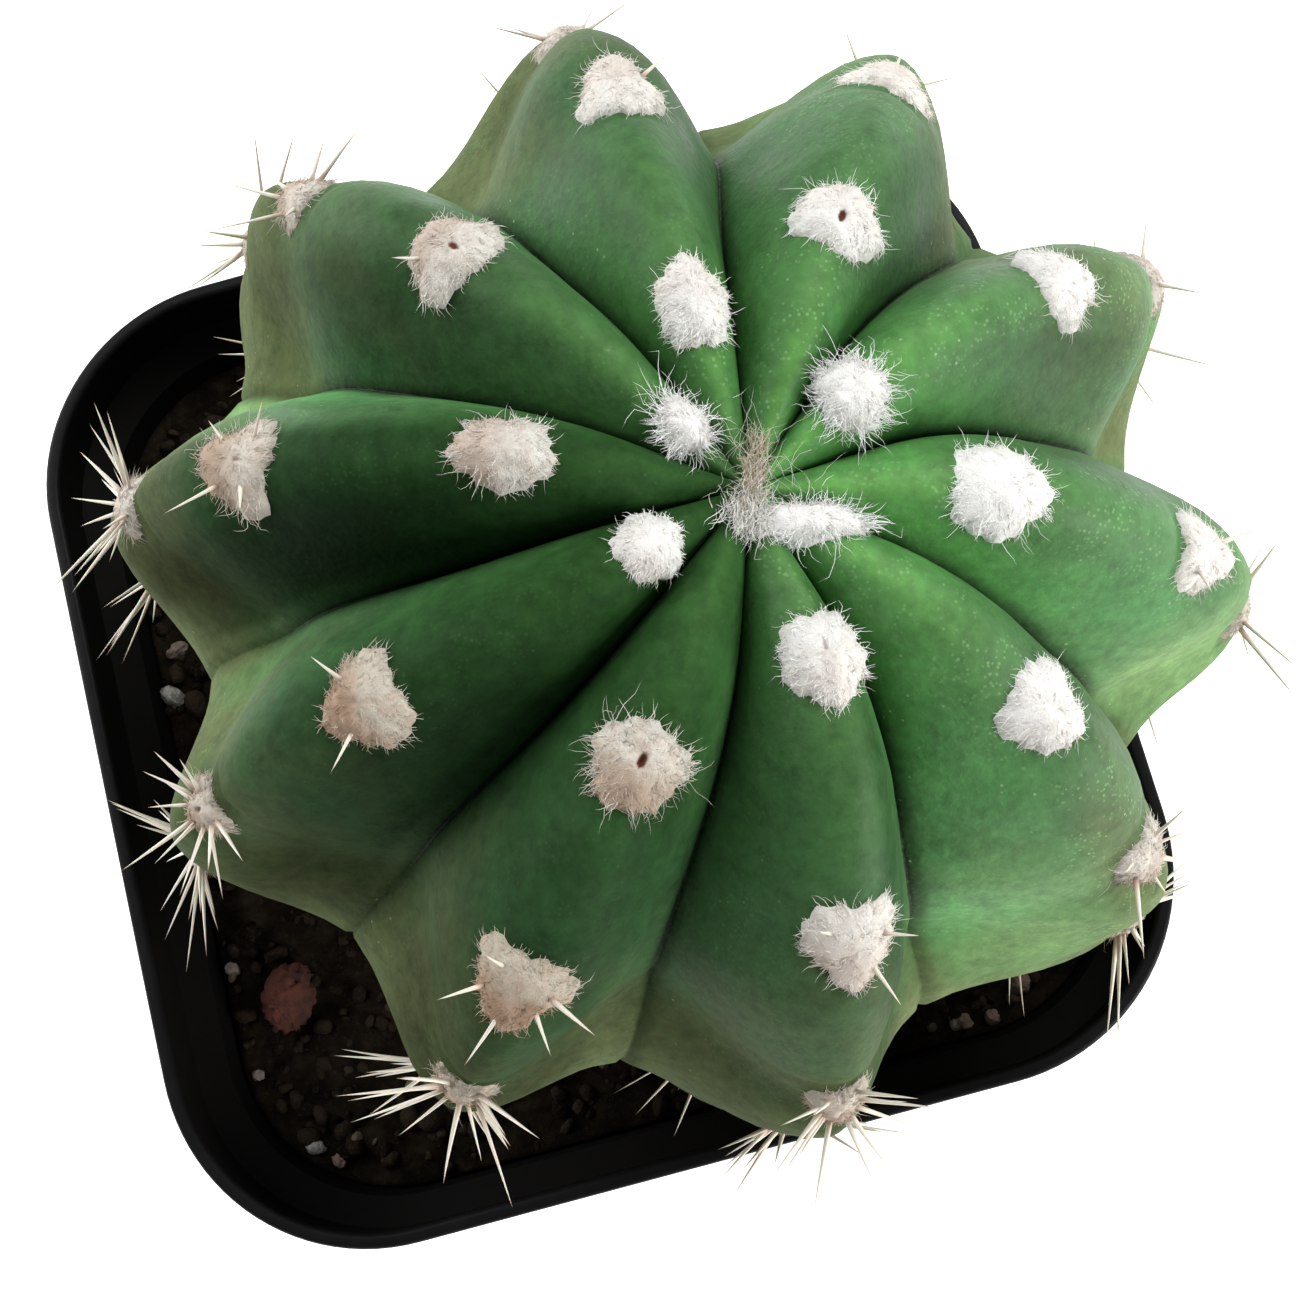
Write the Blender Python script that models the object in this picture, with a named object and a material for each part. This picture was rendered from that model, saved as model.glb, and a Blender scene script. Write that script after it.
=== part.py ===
"""A young ribbed globe cactus in a rounded-square nursery pot.

Metres, +Z up. The origin is the middle of the pot's underside, which stands on the surface.
X runs to the right of the usual view and Y away from it.
"""
import math
import random

import bmesh
import bpy
from mathutils import Vector

MM = 0.001
GAP = 0.3 * MM

# Pot: outside sizes at the lip and at the underside
POT_WIDTH = 89.0 * MM
POT_CORNER = 18.5 * MM
POT_HEIGHT = 82.0 * MM
BASE_WIDTH = 62.0 * MM
BASE_CORNER = 11.0 * MM
POT_WALL = 1.3 * MM
POT_FLOOR = 1.6 * MM
LIP_HEIGHT = 7.0 * MM
LIP_OVERHANG = 1.4 * MM
FOOT_BEVEL = 1.0 * MM
DRAIN_RADIUS = 4.0 * MM
DRAIN_PLACE = 17.0 * MM
CORNER_STEPS = 7
SIDE_STEPS = 5

# Soil: its level, its relief and the plain hole that the root neck stands in
SOIL_TOP = POT_HEIGHT - 10.0 * MM
SOIL_RELIEF = 0.8 * MM
SOIL_RINGS = 8
CRUMB_COUNT = 26
NECK_CENTRE = Vector((4.0 * MM, 1.0 * MM, 0.0))
NECK_RADIUS = 14.0 * MM
NECK_BOTTOM = SOIL_TOP - 12.0 * MM
NECK_TOP = SOIL_TOP + 1.4 * MM

# Stem: the widest level, the lean of its axis and the crest line of a rib in side view.
# Along a rib, t is 0 at the apex, 1 at the widest level and about 1.6 at the root neck.
STEM_CENTRE = Vector((10.0 * MM, -1.2 * MM, POT_HEIGHT + 22.5 * MM))
LEAN_X = 10.6
LEAN_Y = -4.4
CREST_RADIUS = 42.2 * MM
CREST_HEIGHT = 33.0 * MM
UNDER_HEIGHT = 34.0 * MM
CREST_POWER = 2.2
DIMPLE_DEPTH = 4.0 * MM
DIMPLE_WIDTH = 9.0 * MM
T_FIRST = 0.025
T_LAST = 1.64
STEM_RINGS = 30

# Each rib, anticlockwise: azimuth near the apex and on the flank in degrees, place of the first
# areole and pitch of the areoles along t, and the valley's share of the way to the next rib's crest
RIBS = (
    (28.0, 17.5, 0.11, 0.305, 0.47),
    (57.5, 54.5, 0.27, 0.320, 0.56),
    (94.0, 90.0, 0.16, 0.315, 0.54),
    (125.0, 127.0, 0.07, 0.300, 0.50),
    (160.0, 161.0, 0.22, 0.320, 0.50),
    (198.0, 194.0, 0.10, 0.330, 0.50),
    (234.0, 231.0, 0.28, 0.300, 0.45),
    (276.0, 267.5, 0.16, 0.305, 0.40),
    (311.0, 307.5, 0.05, 0.300, 0.50),
    (345.5, 341.5, 0.22, 0.320, 0.50),
)
# Steps across half a rib: 0 is its crest and 1 the valley beside it
RIB_STEPS = (0.0, 0.36, 0.72, 1.0)
VALLEY_DEPTH = 8.2 * MM
VALLEY_DEPTH_MIDDLE = 10.1 * MM
VALLEY_DEPTH_LOW = 5.4 * MM
VALLEY_START = 10.0 * MM
CHIN_HEIGHT = 0.9 * MM

# Areoles and spines
AREOLE_LAST = 1.42
AREOLE_HALF = (3.5 * MM, 3.1 * MM, 1.5 * MM)
TUFT_HALF = (3.0 * MM, 3.6 * MM, 1.6 * MM)
SPINE_COUNTS = (0, 2, 7, 11, 11)
SPINE_LENGTHS = (0.0, 3.2 * MM, 5.5 * MM, 7.5 * MM, 7.0 * MM)
SPINE_RADIUS = 0.27 * MM
SPINE_ROOT = 1.0 * MM
LIP_REACH = 9.0 * MM
LIP_CLEARANCE = 1.5 * MM
BEND_STEPS = 12
BEND_SIZE = 0.2


def clear_scene():
    for item in list(bpy.data.objects):
        bpy.data.objects.remove(item, do_unlink=True)


def material(name, colour, roughness, metallic=0.0):
    made = bpy.data.materials.new(name)
    made.use_nodes = True
    shader = made.node_tree.nodes["Principled BSDF"]
    shader.inputs["Base Color"].default_value = (*colour, 1.0)
    shader.inputs["Roughness"].default_value = roughness
    shader.inputs["Metallic"].default_value = metallic
    return made


def smoothstep(low, high, value):
    x = min(1.0, max(0.0, (value - low) / (high - low)))
    return x * x * (3.0 - 2.0 * x)


def solid_from_rings(name, rings, start, end):
    """One closed body from rings with the same number of points, each ring running anticlockwise seen
    from above on an outside wall that goes down, closed by a fan at each end."""
    mesh = bpy.data.meshes.new(name)
    bm = bmesh.new()
    first = bm.verts.new(start)
    loops = [[bm.verts.new(point) for point in ring] for ring in rings]
    last = bm.verts.new(end)
    count = len(loops[0])
    for i in range(count):
        j = (i + 1) % count
        bm.faces.new((first, loops[0][i], loops[0][j]))
        for upper, lower in zip(loops, loops[1:]):
            bm.faces.new((upper[i], lower[i], lower[j], upper[j]))
        bm.faces.new((last, loops[-1][j], loops[-1][i]))
    bmesh.ops.triangulate(bm, faces=[f for f in bm.faces if len(f.verts) > 3])
    bm.to_mesh(mesh)
    bm.free()
    made = bpy.data.objects.new(name, mesh)
    bpy.context.scene.collection.objects.link(made)
    return made


def shade(made, degrees):
    made.data.shade_smooth()
    made.data.set_sharp_from_angle(angle=math.radians(degrees))


def boolean(made, operation, cutters):
    """Applies one Boolean on a collection of solids and removes them."""
    group = bpy.data.collections.new(made.name + "_tools")
    bpy.context.scene.collection.children.link(group)
    for cutter in cutters:
        for holder in list(cutter.users_collection):
            holder.objects.unlink(cutter)
        group.objects.link(cutter)
    modifier = made.modifiers.new("join", "BOOLEAN")
    modifier.operation = operation
    modifier.operand_type = "COLLECTION"
    modifier.collection = group
    modifier.solver = "EXACT"
    graph = bpy.context.evaluated_depsgraph_get()
    mesh = bpy.data.meshes.new_from_object(made.evaluated_get(graph))
    made.modifiers.clear()
    made.data = mesh
    for cutter in cutters:
        bpy.data.objects.remove(cutter, do_unlink=True)
    bpy.data.collections.remove(group)


def rounded_square(width, corner, z):
    """Points of a square with round corners, anticlockwise from the corner at +X +Y."""
    straight = width / 2.0 - corner
    points = []
    for quarter in range(4):
        centre_angle = math.radians(45.0 + 90.0 * quarter)
        centre_x = math.copysign(straight, math.cos(centre_angle))
        centre_y = math.copysign(straight, math.sin(centre_angle))
        for step in range(CORNER_STEPS + 1):
            angle = math.radians(90.0 * (quarter + step / CORNER_STEPS))
            points.append(Vector((centre_x + corner * math.cos(angle), centre_y + corner * math.sin(angle), z)))
        last = points[-1]
        heading = math.radians(90.0 * (quarter + 2))
        along = Vector((math.cos(heading), math.sin(heading), 0.0))
        for step in range(1, SIDE_STEPS):
            points.append(last + along * (2.0 * straight * step / SIDE_STEPS))
    return points


def pot_section(z, inset):
    """The pot wall's outline at a height, moved inward by inset."""
    share = z / POT_HEIGHT
    width = BASE_WIDTH + (POT_WIDTH - 2.0 * LIP_OVERHANG - BASE_WIDTH) * share - 2.0 * inset
    corner = BASE_CORNER + (POT_CORNER - LIP_OVERHANG - BASE_CORNER) * share - inset
    return rounded_square(width, corner, z)


def build_pot():
    lip_low = POT_HEIGHT - LIP_HEIGHT
    rings = [
        rounded_square(POT_WIDTH - 1.0 * MM, POT_CORNER - 0.5 * MM, POT_HEIGHT),
        rounded_square(POT_WIDTH, POT_CORNER, POT_HEIGHT - 0.6 * MM),
        rounded_square(POT_WIDTH, POT_CORNER, lip_low + 0.8 * MM),
        rounded_square(POT_WIDTH - 1.2 * MM, POT_CORNER - 0.6 * MM, lip_low),
        pot_section(lip_low, 0.0),
        pot_section(POT_HEIGHT * 0.5, 0.0),
        pot_section(FOOT_BEVEL, 0.0),
        rounded_square(BASE_WIDTH - 2.0 * FOOT_BEVEL, BASE_CORNER - FOOT_BEVEL, 0.0),
    ]
    inner = [
        pot_section(POT_FLOOR, POT_WALL),
        pot_section(POT_HEIGHT * 0.5, POT_WALL),
        pot_section(lip_low, POT_WALL),
        pot_section(POT_HEIGHT - 0.4 * MM, POT_WALL),
        pot_section(POT_HEIGHT, POT_WALL - 0.3 * MM),
    ]
    # From the middle of the floor's upper face up the inner wall, over the lip and down the outer wall
    pot = solid_from_rings("pot", inner + rings, Vector((0, 0, POT_FLOOR)), Vector((0, 0, 0)))
    drains = []
    for sign_x, sign_y in ((1, 1), (-1, 1), (-1, -1), (1, -1)):
        bpy.ops.mesh.primitive_cylinder_add(
            vertices=16,
            radius=DRAIN_RADIUS,
            depth=4.0 * POT_FLOOR,
            location=(sign_x * DRAIN_PLACE, sign_y * DRAIN_PLACE, POT_FLOOR / 2.0),
        )
        drains.append(bpy.context.active_object)
    boolean(pot, "DIFFERENCE", drains)
    shade(pot, 30.0)
    pot.data.materials.clear()
    pot.data.materials.append(material("black_plastic", (0.012, 0.012, 0.013), 0.38))
    return pot


def soil_height(x, y):
    """Level of the soil, with low humps and hollows."""
    wave = math.sin(x / (5.1 * MM) + 0.7) * math.cos(y / (6.3 * MM) - 1.1)
    ripple = math.sin((x + 1.7 * y) / (3.7 * MM) + 2.0)
    return SOIL_TOP + SOIL_RELIEF * (0.7 * wave + 0.25 * ripple)


def build_soil():
    inset = POT_WALL + GAP
    outer_top = pot_section(SOIL_TOP, inset)
    count = len(outer_top)
    turn = 2.0 * math.pi / count
    angles = [math.radians(45.0) + turn * (i - CORNER_STEPS / 2.0) for i in range(count)]
    hole = (NECK_RADIUS + GAP) / math.cos(turn / 2.0)
    mouth = [NECK_CENTRE + Vector((hole * math.cos(a), hole * math.sin(a), 0.0)) for a in angles]
    rings = []
    for level in (NECK_BOTTOM - GAP, SOIL_TOP - 2.0 * SOIL_RELIEF):
        rings.append([Vector((p.x, p.y, level)) for p in mouth])
    for ring in range(SOIL_RINGS + 1):
        share = ring / SOIL_RINGS
        flat = [mouth[i].lerp(outer_top[i], share) for i in range(count)]
        edge = min(1.0, 4.0 * min(share, 1.0 - share) + 0.25)
        rings.append([Vector((p.x, p.y, SOIL_TOP + edge * (soil_height(p.x, p.y) - SOIL_TOP))) for p in flat])
    for level in (SOIL_TOP - 2.0 * SOIL_RELIEF, POT_HEIGHT * 0.5, POT_FLOOR + GAP):
        rings.append(pot_section(level, inset))
    top = Vector((NECK_CENTRE.x, NECK_CENTRE.y, NECK_BOTTOM - GAP))
    soil = solid_from_rings("soil", rings, top, Vector((0, 0, POT_FLOOR + GAP)))
    boolean(soil, "UNION", soil_crumbs())
    shade(soil, 50.0)
    soil.data.materials.clear()
    soil.data.materials.append(material("potting_mix", (0.028, 0.020, 0.014), 0.95))
    return soil


def soil_crumbs():
    """Grit and perlite grains half sunk in the soil, by a seeded draw."""
    draw = random.Random(7)
    crumbs = []
    reach = POT_WIDTH / 2.0 - 9.0 * MM
    while len(crumbs) < CRUMB_COUNT:
        x = draw.uniform(-reach, reach)
        y = draw.uniform(-reach, reach)
        size = draw.uniform(1.2, 2.2) * MM
        from_neck = (Vector((x, y, 0.0)) - NECK_CENTRE).length
        in_corner = math.hypot(max(0.0, abs(x) - 20.0 * MM), max(0.0, abs(y) - 20.0 * MM)) > 15.0 * MM
        if from_neck < NECK_RADIUS + 4.0 * MM or in_corner:
            continue
        bpy.ops.mesh.primitive_ico_sphere_add(
            subdivisions=1,
            radius=size,
            location=(x, y, soil_height(x, y) - 0.25 * size),
            rotation=(draw.uniform(0, 3), draw.uniform(0, 3), draw.uniform(0, 3)),
        )
        crumbs.append(bpy.context.active_object)
    return crumbs


def crest_line(t):
    """Radius and height of a rib's crest, and its outward normal, in the stem's own frame."""
    def place(at):
        angle = at * math.pi / 2.0
        side = abs(math.sin(angle)) ** (2.0 / CREST_POWER)
        rise = math.copysign(abs(math.cos(angle)) ** (2.0 / CREST_POWER), math.cos(angle))
        radius = CREST_RADIUS * side
        height = (CREST_HEIGHT if rise > 0.0 else UNDER_HEIGHT) * rise
        return radius, height - DIMPLE_DEPTH * math.exp(-((radius / DIMPLE_WIDTH) ** 2))
    radius, height = place(t)
    ahead = place(t + 0.01)
    behind = place(max(0.001, t - 0.01))
    run = Vector((ahead[0] - behind[0], ahead[1] - behind[1])).normalized()
    return radius, height, -run.y, run.x


def rib_azimuth(rib, t):
    """Azimuth of a rib's crest at t, in radians; ribs past the last go on round the stem."""
    turns, index = divmod(rib, len(RIBS))
    top, flank = RIBS[index][0], RIBS[index][1]
    return math.radians(top + (flank - top) * smoothstep(0.08, 0.60, t) + 360.0 * turns)


def valley_depth(t, radius):
    opened = 1.0 - math.exp(-((radius / VALLEY_START) ** 1.5))
    depth = VALLEY_DEPTH + (VALLEY_DEPTH_MIDDLE - VALLEY_DEPTH) * smoothstep(0.50, 0.85, t)
    depth += (VALLEY_DEPTH_LOW - VALLEY_DEPTH_MIDDLE) * smoothstep(0.71, 1.01, t)
    neck = 1.0 - smoothstep(1.30, T_LAST, t)
    return opened * depth * (0.25 + 0.75 * neck)


def rib_drop(across, t):
    """Share of the valley's depth at a place across the rib: pillows that meet in a sharp crease near
    the apex, round crests on the flank and a gentle wave low down."""
    pillow = 1.0 - (1.0 - across ** 2.2) ** 0.6
    crown = 1.0 - (1.0 - across ** 2.0) ** 1.5
    wave = (1.0 - math.cos(math.pi * across ** 0.87)) / 2.0
    flank = pillow + (crown - pillow) * smoothstep(0.08, 0.50, t)
    return flank + (wave - flank) * smoothstep(0.53, 0.83, t)


def valley_azimuth(rib, side, t):
    """Azimuth of the valley on one side of a rib, in radians."""
    share = RIBS[rib % len(RIBS)][4] if side > 0 else 1.0 - RIBS[(rib - 1) % len(RIBS)][4]
    crest = rib_azimuth(rib, t)
    return crest + share * (rib_azimuth(rib + side, t) - crest)


def chin(rib, across, t):
    """Swelling of the rib below each areole, which leaves the areole in a shallow notch."""
    first, pitch = RIBS[rib % len(RIBS)][2:4]
    phase = ((t - first) / pitch) % 1.0
    rise = smoothstep(0.0, 0.30, phase) * (1.0 - smoothstep(0.30, 1.0, phase))
    return CHIN_HEIGHT * rise * smoothstep(0.1, 0.5, t) * (1.0 - across ** 2) ** 2


def stem_axes():
    up = Vector((math.tan(math.radians(LEAN_X)), math.tan(math.radians(LEAN_Y)), 1.0)).normalized()
    right = (Vector((1, 0, 0)) - up * up.x).normalized()
    return right, up.cross(right), up


def stem_point(rib, side, across, t):
    """A point of the stem: across from 0 at the rib's crest to 1 at the valley on one side of it."""
    radius, height, out, up = crest_line(t)
    crest = rib_azimuth(rib, t)
    angle = crest + across * (valley_azimuth(rib, side, t) - crest)
    move = chin(rib, across, t) - valley_depth(t, radius) * rib_drop(across, t)
    radius += move * out
    height += move * up
    x, y = radius * math.cos(angle), radius * math.sin(angle)
    right, away, axis = stem_axes()
    leaning = STEM_CENTRE + right * x + away * y + axis * height
    standing = Vector((NECK_CENTRE.x + x, NECK_CENTRE.y + y, STEM_CENTRE.z + height))
    return leaning.lerp(standing, smoothstep(1.0, 1.5, t))


def stem_ring(t):
    points = []
    for rib in range(len(RIBS)):
        points += [stem_point(rib, 1, across, t) for across in RIB_STEPS]
        points += [stem_point(rib + 1, -1, across, t) for across in reversed(RIB_STEPS[1:-1])]
    return points


def stem_solid():
    rings = []
    for i in range(STEM_RINGS):
        share = i / (STEM_RINGS - 1)
        rings.append(stem_ring(T_FIRST + (T_LAST - T_FIRST) * share ** 1.15))
    angles = [math.atan2(p.y - NECK_CENTRE.y, p.x - NECK_CENTRE.x) for p in rings[-1]]
    for level in (NECK_TOP, NECK_BOTTOM):
        ring = [Vector((NECK_RADIUS * math.cos(a), NECK_RADIUS * math.sin(a), level)) for a in angles]
        rings.append([p + NECK_CENTRE for p in ring])
    middle = sum(rings[0], Vector()) / len(rings[0])
    apex = middle - stem_axes()[2] * 0.2 * MM
    bottom = Vector((NECK_CENTRE.x, NECK_CENTRE.y, NECK_BOTTOM))
    return solid_from_rings("cactus", rings, apex, bottom)


def areole_places():
    """Each areole's rib, its number from the apex and its place along the rib."""
    places = []
    for rib, (_, _, first, pitch, _) in enumerate(RIBS):
        number = 0
        while first + number * pitch < AREOLE_LAST:
            places.append((rib, number, first + number * pitch))
            number += 1
    return places


def areole_frame(rib, t):
    """Point, sideways, downward and outward directions at a place on a rib's crest."""
    centre = stem_point(rib, 1, 0.0, t)
    down = (stem_point(rib, 1, 0.0, t + 0.03) - stem_point(rib, 1, 0.0, max(0.005, t - 0.03))).normalized()
    sideways = stem_point(rib, 1, 0.2, t) - stem_point(rib, -1, 0.2, t)
    sideways = (sideways - down * sideways.dot(down)).normalized()
    return centre, sideways, down, down.cross(sideways)


def cushion(centre, sideways, down, outward, half):
    """A low felted pad, sunk half way into the crest."""
    bpy.ops.mesh.primitive_uv_sphere_add(segments=8, ring_count=5, radius=1.0)
    made = bpy.context.active_object
    for vertex in made.data.vertices:
        x, y, z = vertex.co
        vertex.co = centre + sideways * (x * half[0]) + down * (y * half[1]) + outward * (z * half[2])
    if sideways.cross(down).dot(outward) < 0.0:
        made.data.flip_normals()
    return made


def spine(root, direction, length):
    """A needle with three sides, from below the pad's face to its point."""
    side = direction.orthogonal().normalized()
    other = direction.cross(side)
    mesh = bpy.data.meshes.new("spine")
    bm = bmesh.new()
    ring = []
    for corner in range(3):
        angle = math.radians(120.0 * corner)
        ring.append(bm.verts.new(root + SPINE_RADIUS * (side * math.cos(angle) + other * math.sin(angle))))
    tip = bm.verts.new(root + direction * (length + SPINE_ROOT))
    bm.faces.new(reversed(ring))
    for i in range(3):
        bm.faces.new((ring[i], ring[(i + 1) % 3], tip))
    bm.to_mesh(mesh)
    bm.free()
    made = bpy.data.objects.new("spine", mesh)
    bpy.context.scene.collection.objects.link(made)
    return made


def clear_of_lip(root, direction, length):
    """Bends a needle upward until it passes over the pot's lip."""
    for _ in range(BEND_STEPS):
        tip = root + direction * (length + SPINE_ROOT)
        over_lip = max(abs(tip.x), abs(tip.y)) > POT_WIDTH / 2.0 - LIP_REACH
        if not over_lip or tip.z > POT_HEIGHT + LIP_CLEARANCE:
            break
        direction = (direction + Vector((0.0, 0.0, BEND_SIZE))).normalized()
    return direction


def areole_spines(draw, number, centre, sideways, down, outward):
    made = []
    age = min(number, len(SPINE_COUNTS) - 1)
    count = SPINE_COUNTS[age]
    for i in range(count):
        turn = 2.0 * math.pi * (i + draw.uniform(-0.25, 0.25)) / count
        lift = draw.uniform(0.45, 0.95)
        spread = sideways * math.cos(turn) + down * math.sin(turn)
        direction = (spread + outward * lift).normalized()
        length = SPINE_LENGTHS[age] * draw.uniform(0.7, 1.15)
        base = centre + spread * 1.0 * MM + outward * (0.9 * MM)
        direction = clear_of_lip(base, direction, length)
        made.append(spine(base - direction * SPINE_ROOT, direction, length))
    return made


def build_cactus():
    cactus = stem_solid()
    draw = random.Random(3)
    repeats = []
    for rib, number, t in areole_places():
        centre, sideways, down, outward = areole_frame(rib, t)
        repeats.append(cushion(centre, sideways, down, outward, AREOLE_HALF))
        repeats += areole_spines(draw, number, centre, sideways, down, outward)
    right, away, up = stem_axes()
    apex = STEM_CENTRE + up * (CREST_HEIGHT - DIMPLE_DEPTH)
    repeats.append(cushion(apex, right, away, up, TUFT_HALF))
    boolean(cactus, "UNION", repeats)
    shade(cactus, 40.0)
    cactus.data.materials.clear()
    cactus.data.materials.append(material("cactus_skin", (0.060, 0.160, 0.050), 0.45))
    return cactus


def main():
    clear_scene()
    build_pot()
    build_soil()
    build_cactus()


main()
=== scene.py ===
"""The looks of a young ribbed globe cactus in a black rounded-square nursery pot."""

import math
from types import SimpleNamespace

import bmesh
import bpy
import numpy as np
from mathutils import Matrix, Quaternion, Vector, noise
from mathutils.bvhtree import BVHTree


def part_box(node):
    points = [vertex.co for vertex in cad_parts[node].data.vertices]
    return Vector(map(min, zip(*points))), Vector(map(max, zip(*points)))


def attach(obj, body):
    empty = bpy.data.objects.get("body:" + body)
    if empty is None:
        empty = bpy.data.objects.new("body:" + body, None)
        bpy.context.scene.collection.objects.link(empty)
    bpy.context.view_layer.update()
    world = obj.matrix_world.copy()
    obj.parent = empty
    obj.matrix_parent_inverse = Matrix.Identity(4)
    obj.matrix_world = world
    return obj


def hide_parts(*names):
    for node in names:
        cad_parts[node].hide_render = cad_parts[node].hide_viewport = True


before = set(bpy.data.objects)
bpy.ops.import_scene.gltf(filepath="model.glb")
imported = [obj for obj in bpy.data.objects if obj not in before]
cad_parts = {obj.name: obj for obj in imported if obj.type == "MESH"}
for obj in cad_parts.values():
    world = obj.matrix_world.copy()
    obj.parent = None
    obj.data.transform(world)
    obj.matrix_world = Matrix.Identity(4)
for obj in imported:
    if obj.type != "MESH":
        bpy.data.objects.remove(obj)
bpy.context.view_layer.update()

MM = 0.001
CORNERS = ((1, 1), (-1, 1), (-1, -1), (1, -1))

# Camera, fitted to the lip of the pot in the photograph
PHOTO_WIDTH = 1297
FOCAL_PIXELS = 2000.0
SENSOR_WIDTH = 36.0
CAMERA_PLACE = Vector((8.6, -38.7, 254.6)) * MM
CAMERA_FORWARD = Vector((-0.017, 0.2164, -0.9762))
CAMERA_RIGHT = Vector((0.9645, -0.2538, -0.0730))

# Pot
POT_LOW, POT_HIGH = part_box("pot")
POT_WIDTH = POT_HIGH.x - POT_LOW.x
POT_HEIGHT = POT_HIGH.z
POT_CORNER = 18.5 * MM
BASE_WIDTH = 62.0 * MM
BASE_CORNER = 11.0 * MM
POT_WALL = 1.3 * MM
POT_FLOOR = 1.6 * MM
LIP_HEIGHT = 7.0 * MM
LIP_OVERHANG = 1.4 * MM
LIP_ROUND = 0.45 * MM
FOOT_ROUND = 1.2 * MM
DRAIN_RADIUS = 4.0 * MM
DRAIN_PLACE = 17.0 * MM
CORNER_STEPS = 24
SIDE_STEPS = 16

# Soil
GAP = 0.3 * MM
SOIL_TOP = POT_HEIGHT - 10.0 * MM
SOIL_RELIEF = 0.8 * MM
SOIL_ROUGH = 0.75 * MM
SOIL_RINGS = 64
SOIL_STRAIGHT = 23.0 * MM
NECK_CENTRE = Vector((4.0, 1.0, 0.0)) * MM
NECK_RADIUS = 14.0 * MM
NECK_BOTTOM = SOIL_TOP - 12.0 * MM
NECK_TOP = SOIL_TOP + 1.4 * MM

# Stem. Along a rib, t is 0 at the apex, 1 at the widest level and about 1.6 at the root neck.
STEM_CENTRE = Vector((10.0 * MM, -1.2 * MM, POT_HEIGHT + 22.5 * MM))
LEAN_X = 10.6
LEAN_Y = -4.4
CREST_RADIUS = 42.2 * MM
CREST_HEIGHT = 33.0 * MM
UNDER_HEIGHT = 34.0 * MM
CREST_POWER = 2.2
DIMPLE_DEPTH = 4.0 * MM
DIMPLE_WIDTH = 9.0 * MM
T_FIRST = 0.012
T_STEP = 0.01
T_LAST = 1.64
STEM_RINGS = 236
HALF_RIB_STEPS = 14
VALLEY_DEPTH = 8.2 * MM
VALLEY_DEPTH_MIDDLE = 10.1 * MM
VALLEY_DEPTH_LOW = 5.4 * MM
VALLEY_START = 10.0 * MM
CREASE_DEPTH = 0.5 * MM
CHIN_HEIGHT = 0.9 * MM
NOTCH_DEPTH = 0.35 * MM
SWELL = 0.28 * MM
AREOLE_LAST = 1.42

# Where along t the ribs turn, their section goes from pillows to crowns and on to a wave, the valleys
# change depth twice and fade towards the neck, and the lean ends
TURN_RANGE = (0.08, 0.60)
CROWN_RANGE = (0.08, 0.50)
WAVE_RANGE = (0.53, 0.83)
WAVE_POWER = 0.87
MIDDLE_RANGE = (0.50, 0.85)
LOW_RANGE = (0.71, 1.01)
NECK_RANGE = (1.30, T_LAST)
UPRIGHT_RANGE = (1.0, 1.5)

# Each rib, anticlockwise: azimuth near the apex and on the flank in degrees, place of the first
# areole and pitch of the areoles along t, and the valley's share of the way to the next rib's crest
RIBS = (
    (28.0, 17.5, 0.11, 0.305, 0.47),
    (57.5, 54.5, 0.27, 0.320, 0.56),
    (94.0, 90.0, 0.16, 0.315, 0.54),
    (125.0, 127.0, 0.07, 0.300, 0.50),
    (160.0, 161.0, 0.22, 0.320, 0.50),
    (198.0, 194.0, 0.10, 0.330, 0.50),
    (234.0, 231.0, 0.28, 0.300, 0.45),
    (276.0, 267.5, 0.16, 0.305, 0.40),
    (311.0, 307.5, 0.05, 0.300, 0.50),
    (345.5, 341.5, 0.22, 0.320, 0.50),
)

# Painted light and shade on the skin, partly each rib's own lightness: how light each rib's skin is and
# how much lighter it is at the rib's low end; then what is added on its anticlockwise and its clockwise
# flank, near the apex and beside a valley
RIB_TONE_AND_LIGHT = (0.92, 0.72, 0.64, 0.55, 0.25, 0.245, 0.32, 0.57, 0.86, 0.96)
RIB_END_LIGHT = (1.75, 1.75, 1.15, 1.40, 2.45, 2.35, 1.15, 1.10, 1.30, 1.65)
FLANK_PAINTED_LIGHT = (
    (0.00, -0.40), (-0.05, -0.35), (-0.05, -0.05), (-0.30, 0.50), (-0.60, 2.00),
    (-0.40, 0.60), (-0.15, 0.00), (-0.35, 0.15), (-0.20, 0.90), (-0.30, 0.45),
)
APEX_LIFT = 0.45
VALLEY_PAINTED_LIGHT = 0.45

# The youngest areole of each rib: half width and half length in millimetres, turn in degrees and
# how long its fringe is
FIRST_PADS = (
    (2.5, 2.3, 0.0, 1.5), (3.1, 2.7, 0.0, 0.9), (2.3, 3.1, 0.0, 0.5), (1.5, 2.0, 0.0, 1.4),
    (2.4, 3.3, 0.0, 0.8), (2.2, 2.4, 0.0, 0.4), (3.0, 3.0, 0.0, 1.1), (2.7, 3.1, 0.0, 0.6),
    (1.4, 3.7, -34.0, 1.5), (3.1, 3.4, 0.0, 0.9),
)

# Pads: spokes and hoops of their mesh, the size of a spine pit, the height of the lumps and how far the
# skirt is sunk
PAD_SPOKES = 40
SPOKE_ANGLES = 2.0 * np.pi * np.arange(PAD_SPOKES) / PAD_SPOKES
PAD_HOOPS = 9
PIT_HALF_WIDTH = 0.26 * MM
PIT_HALF_LENGTH = 0.55 * MM
PIT_DEPTH = 0.5 * MM
PAD_LUMP = 0.22 * MM
PAD_SKIRT = 1.6 * MM

# Largest half width in millimetres of each rib's second pad, and of those below
SECOND_PAD = 3.3
LATER_PAD = 2.6

# How rusty each rib's first and second pads are, and how much painted shade darkens them
PAD_RUST_AND_SHADE = (
    (0.0, 0.0), (0.15, 0.15), (0.15, 0.25), (0.0, 0.5), (0.55, 0.75),
    (0.1, 0.95), (0.75, 1.0), (0.15, 0.35), (0.0, 0.05), (0.0, 0.05),
)

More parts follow.
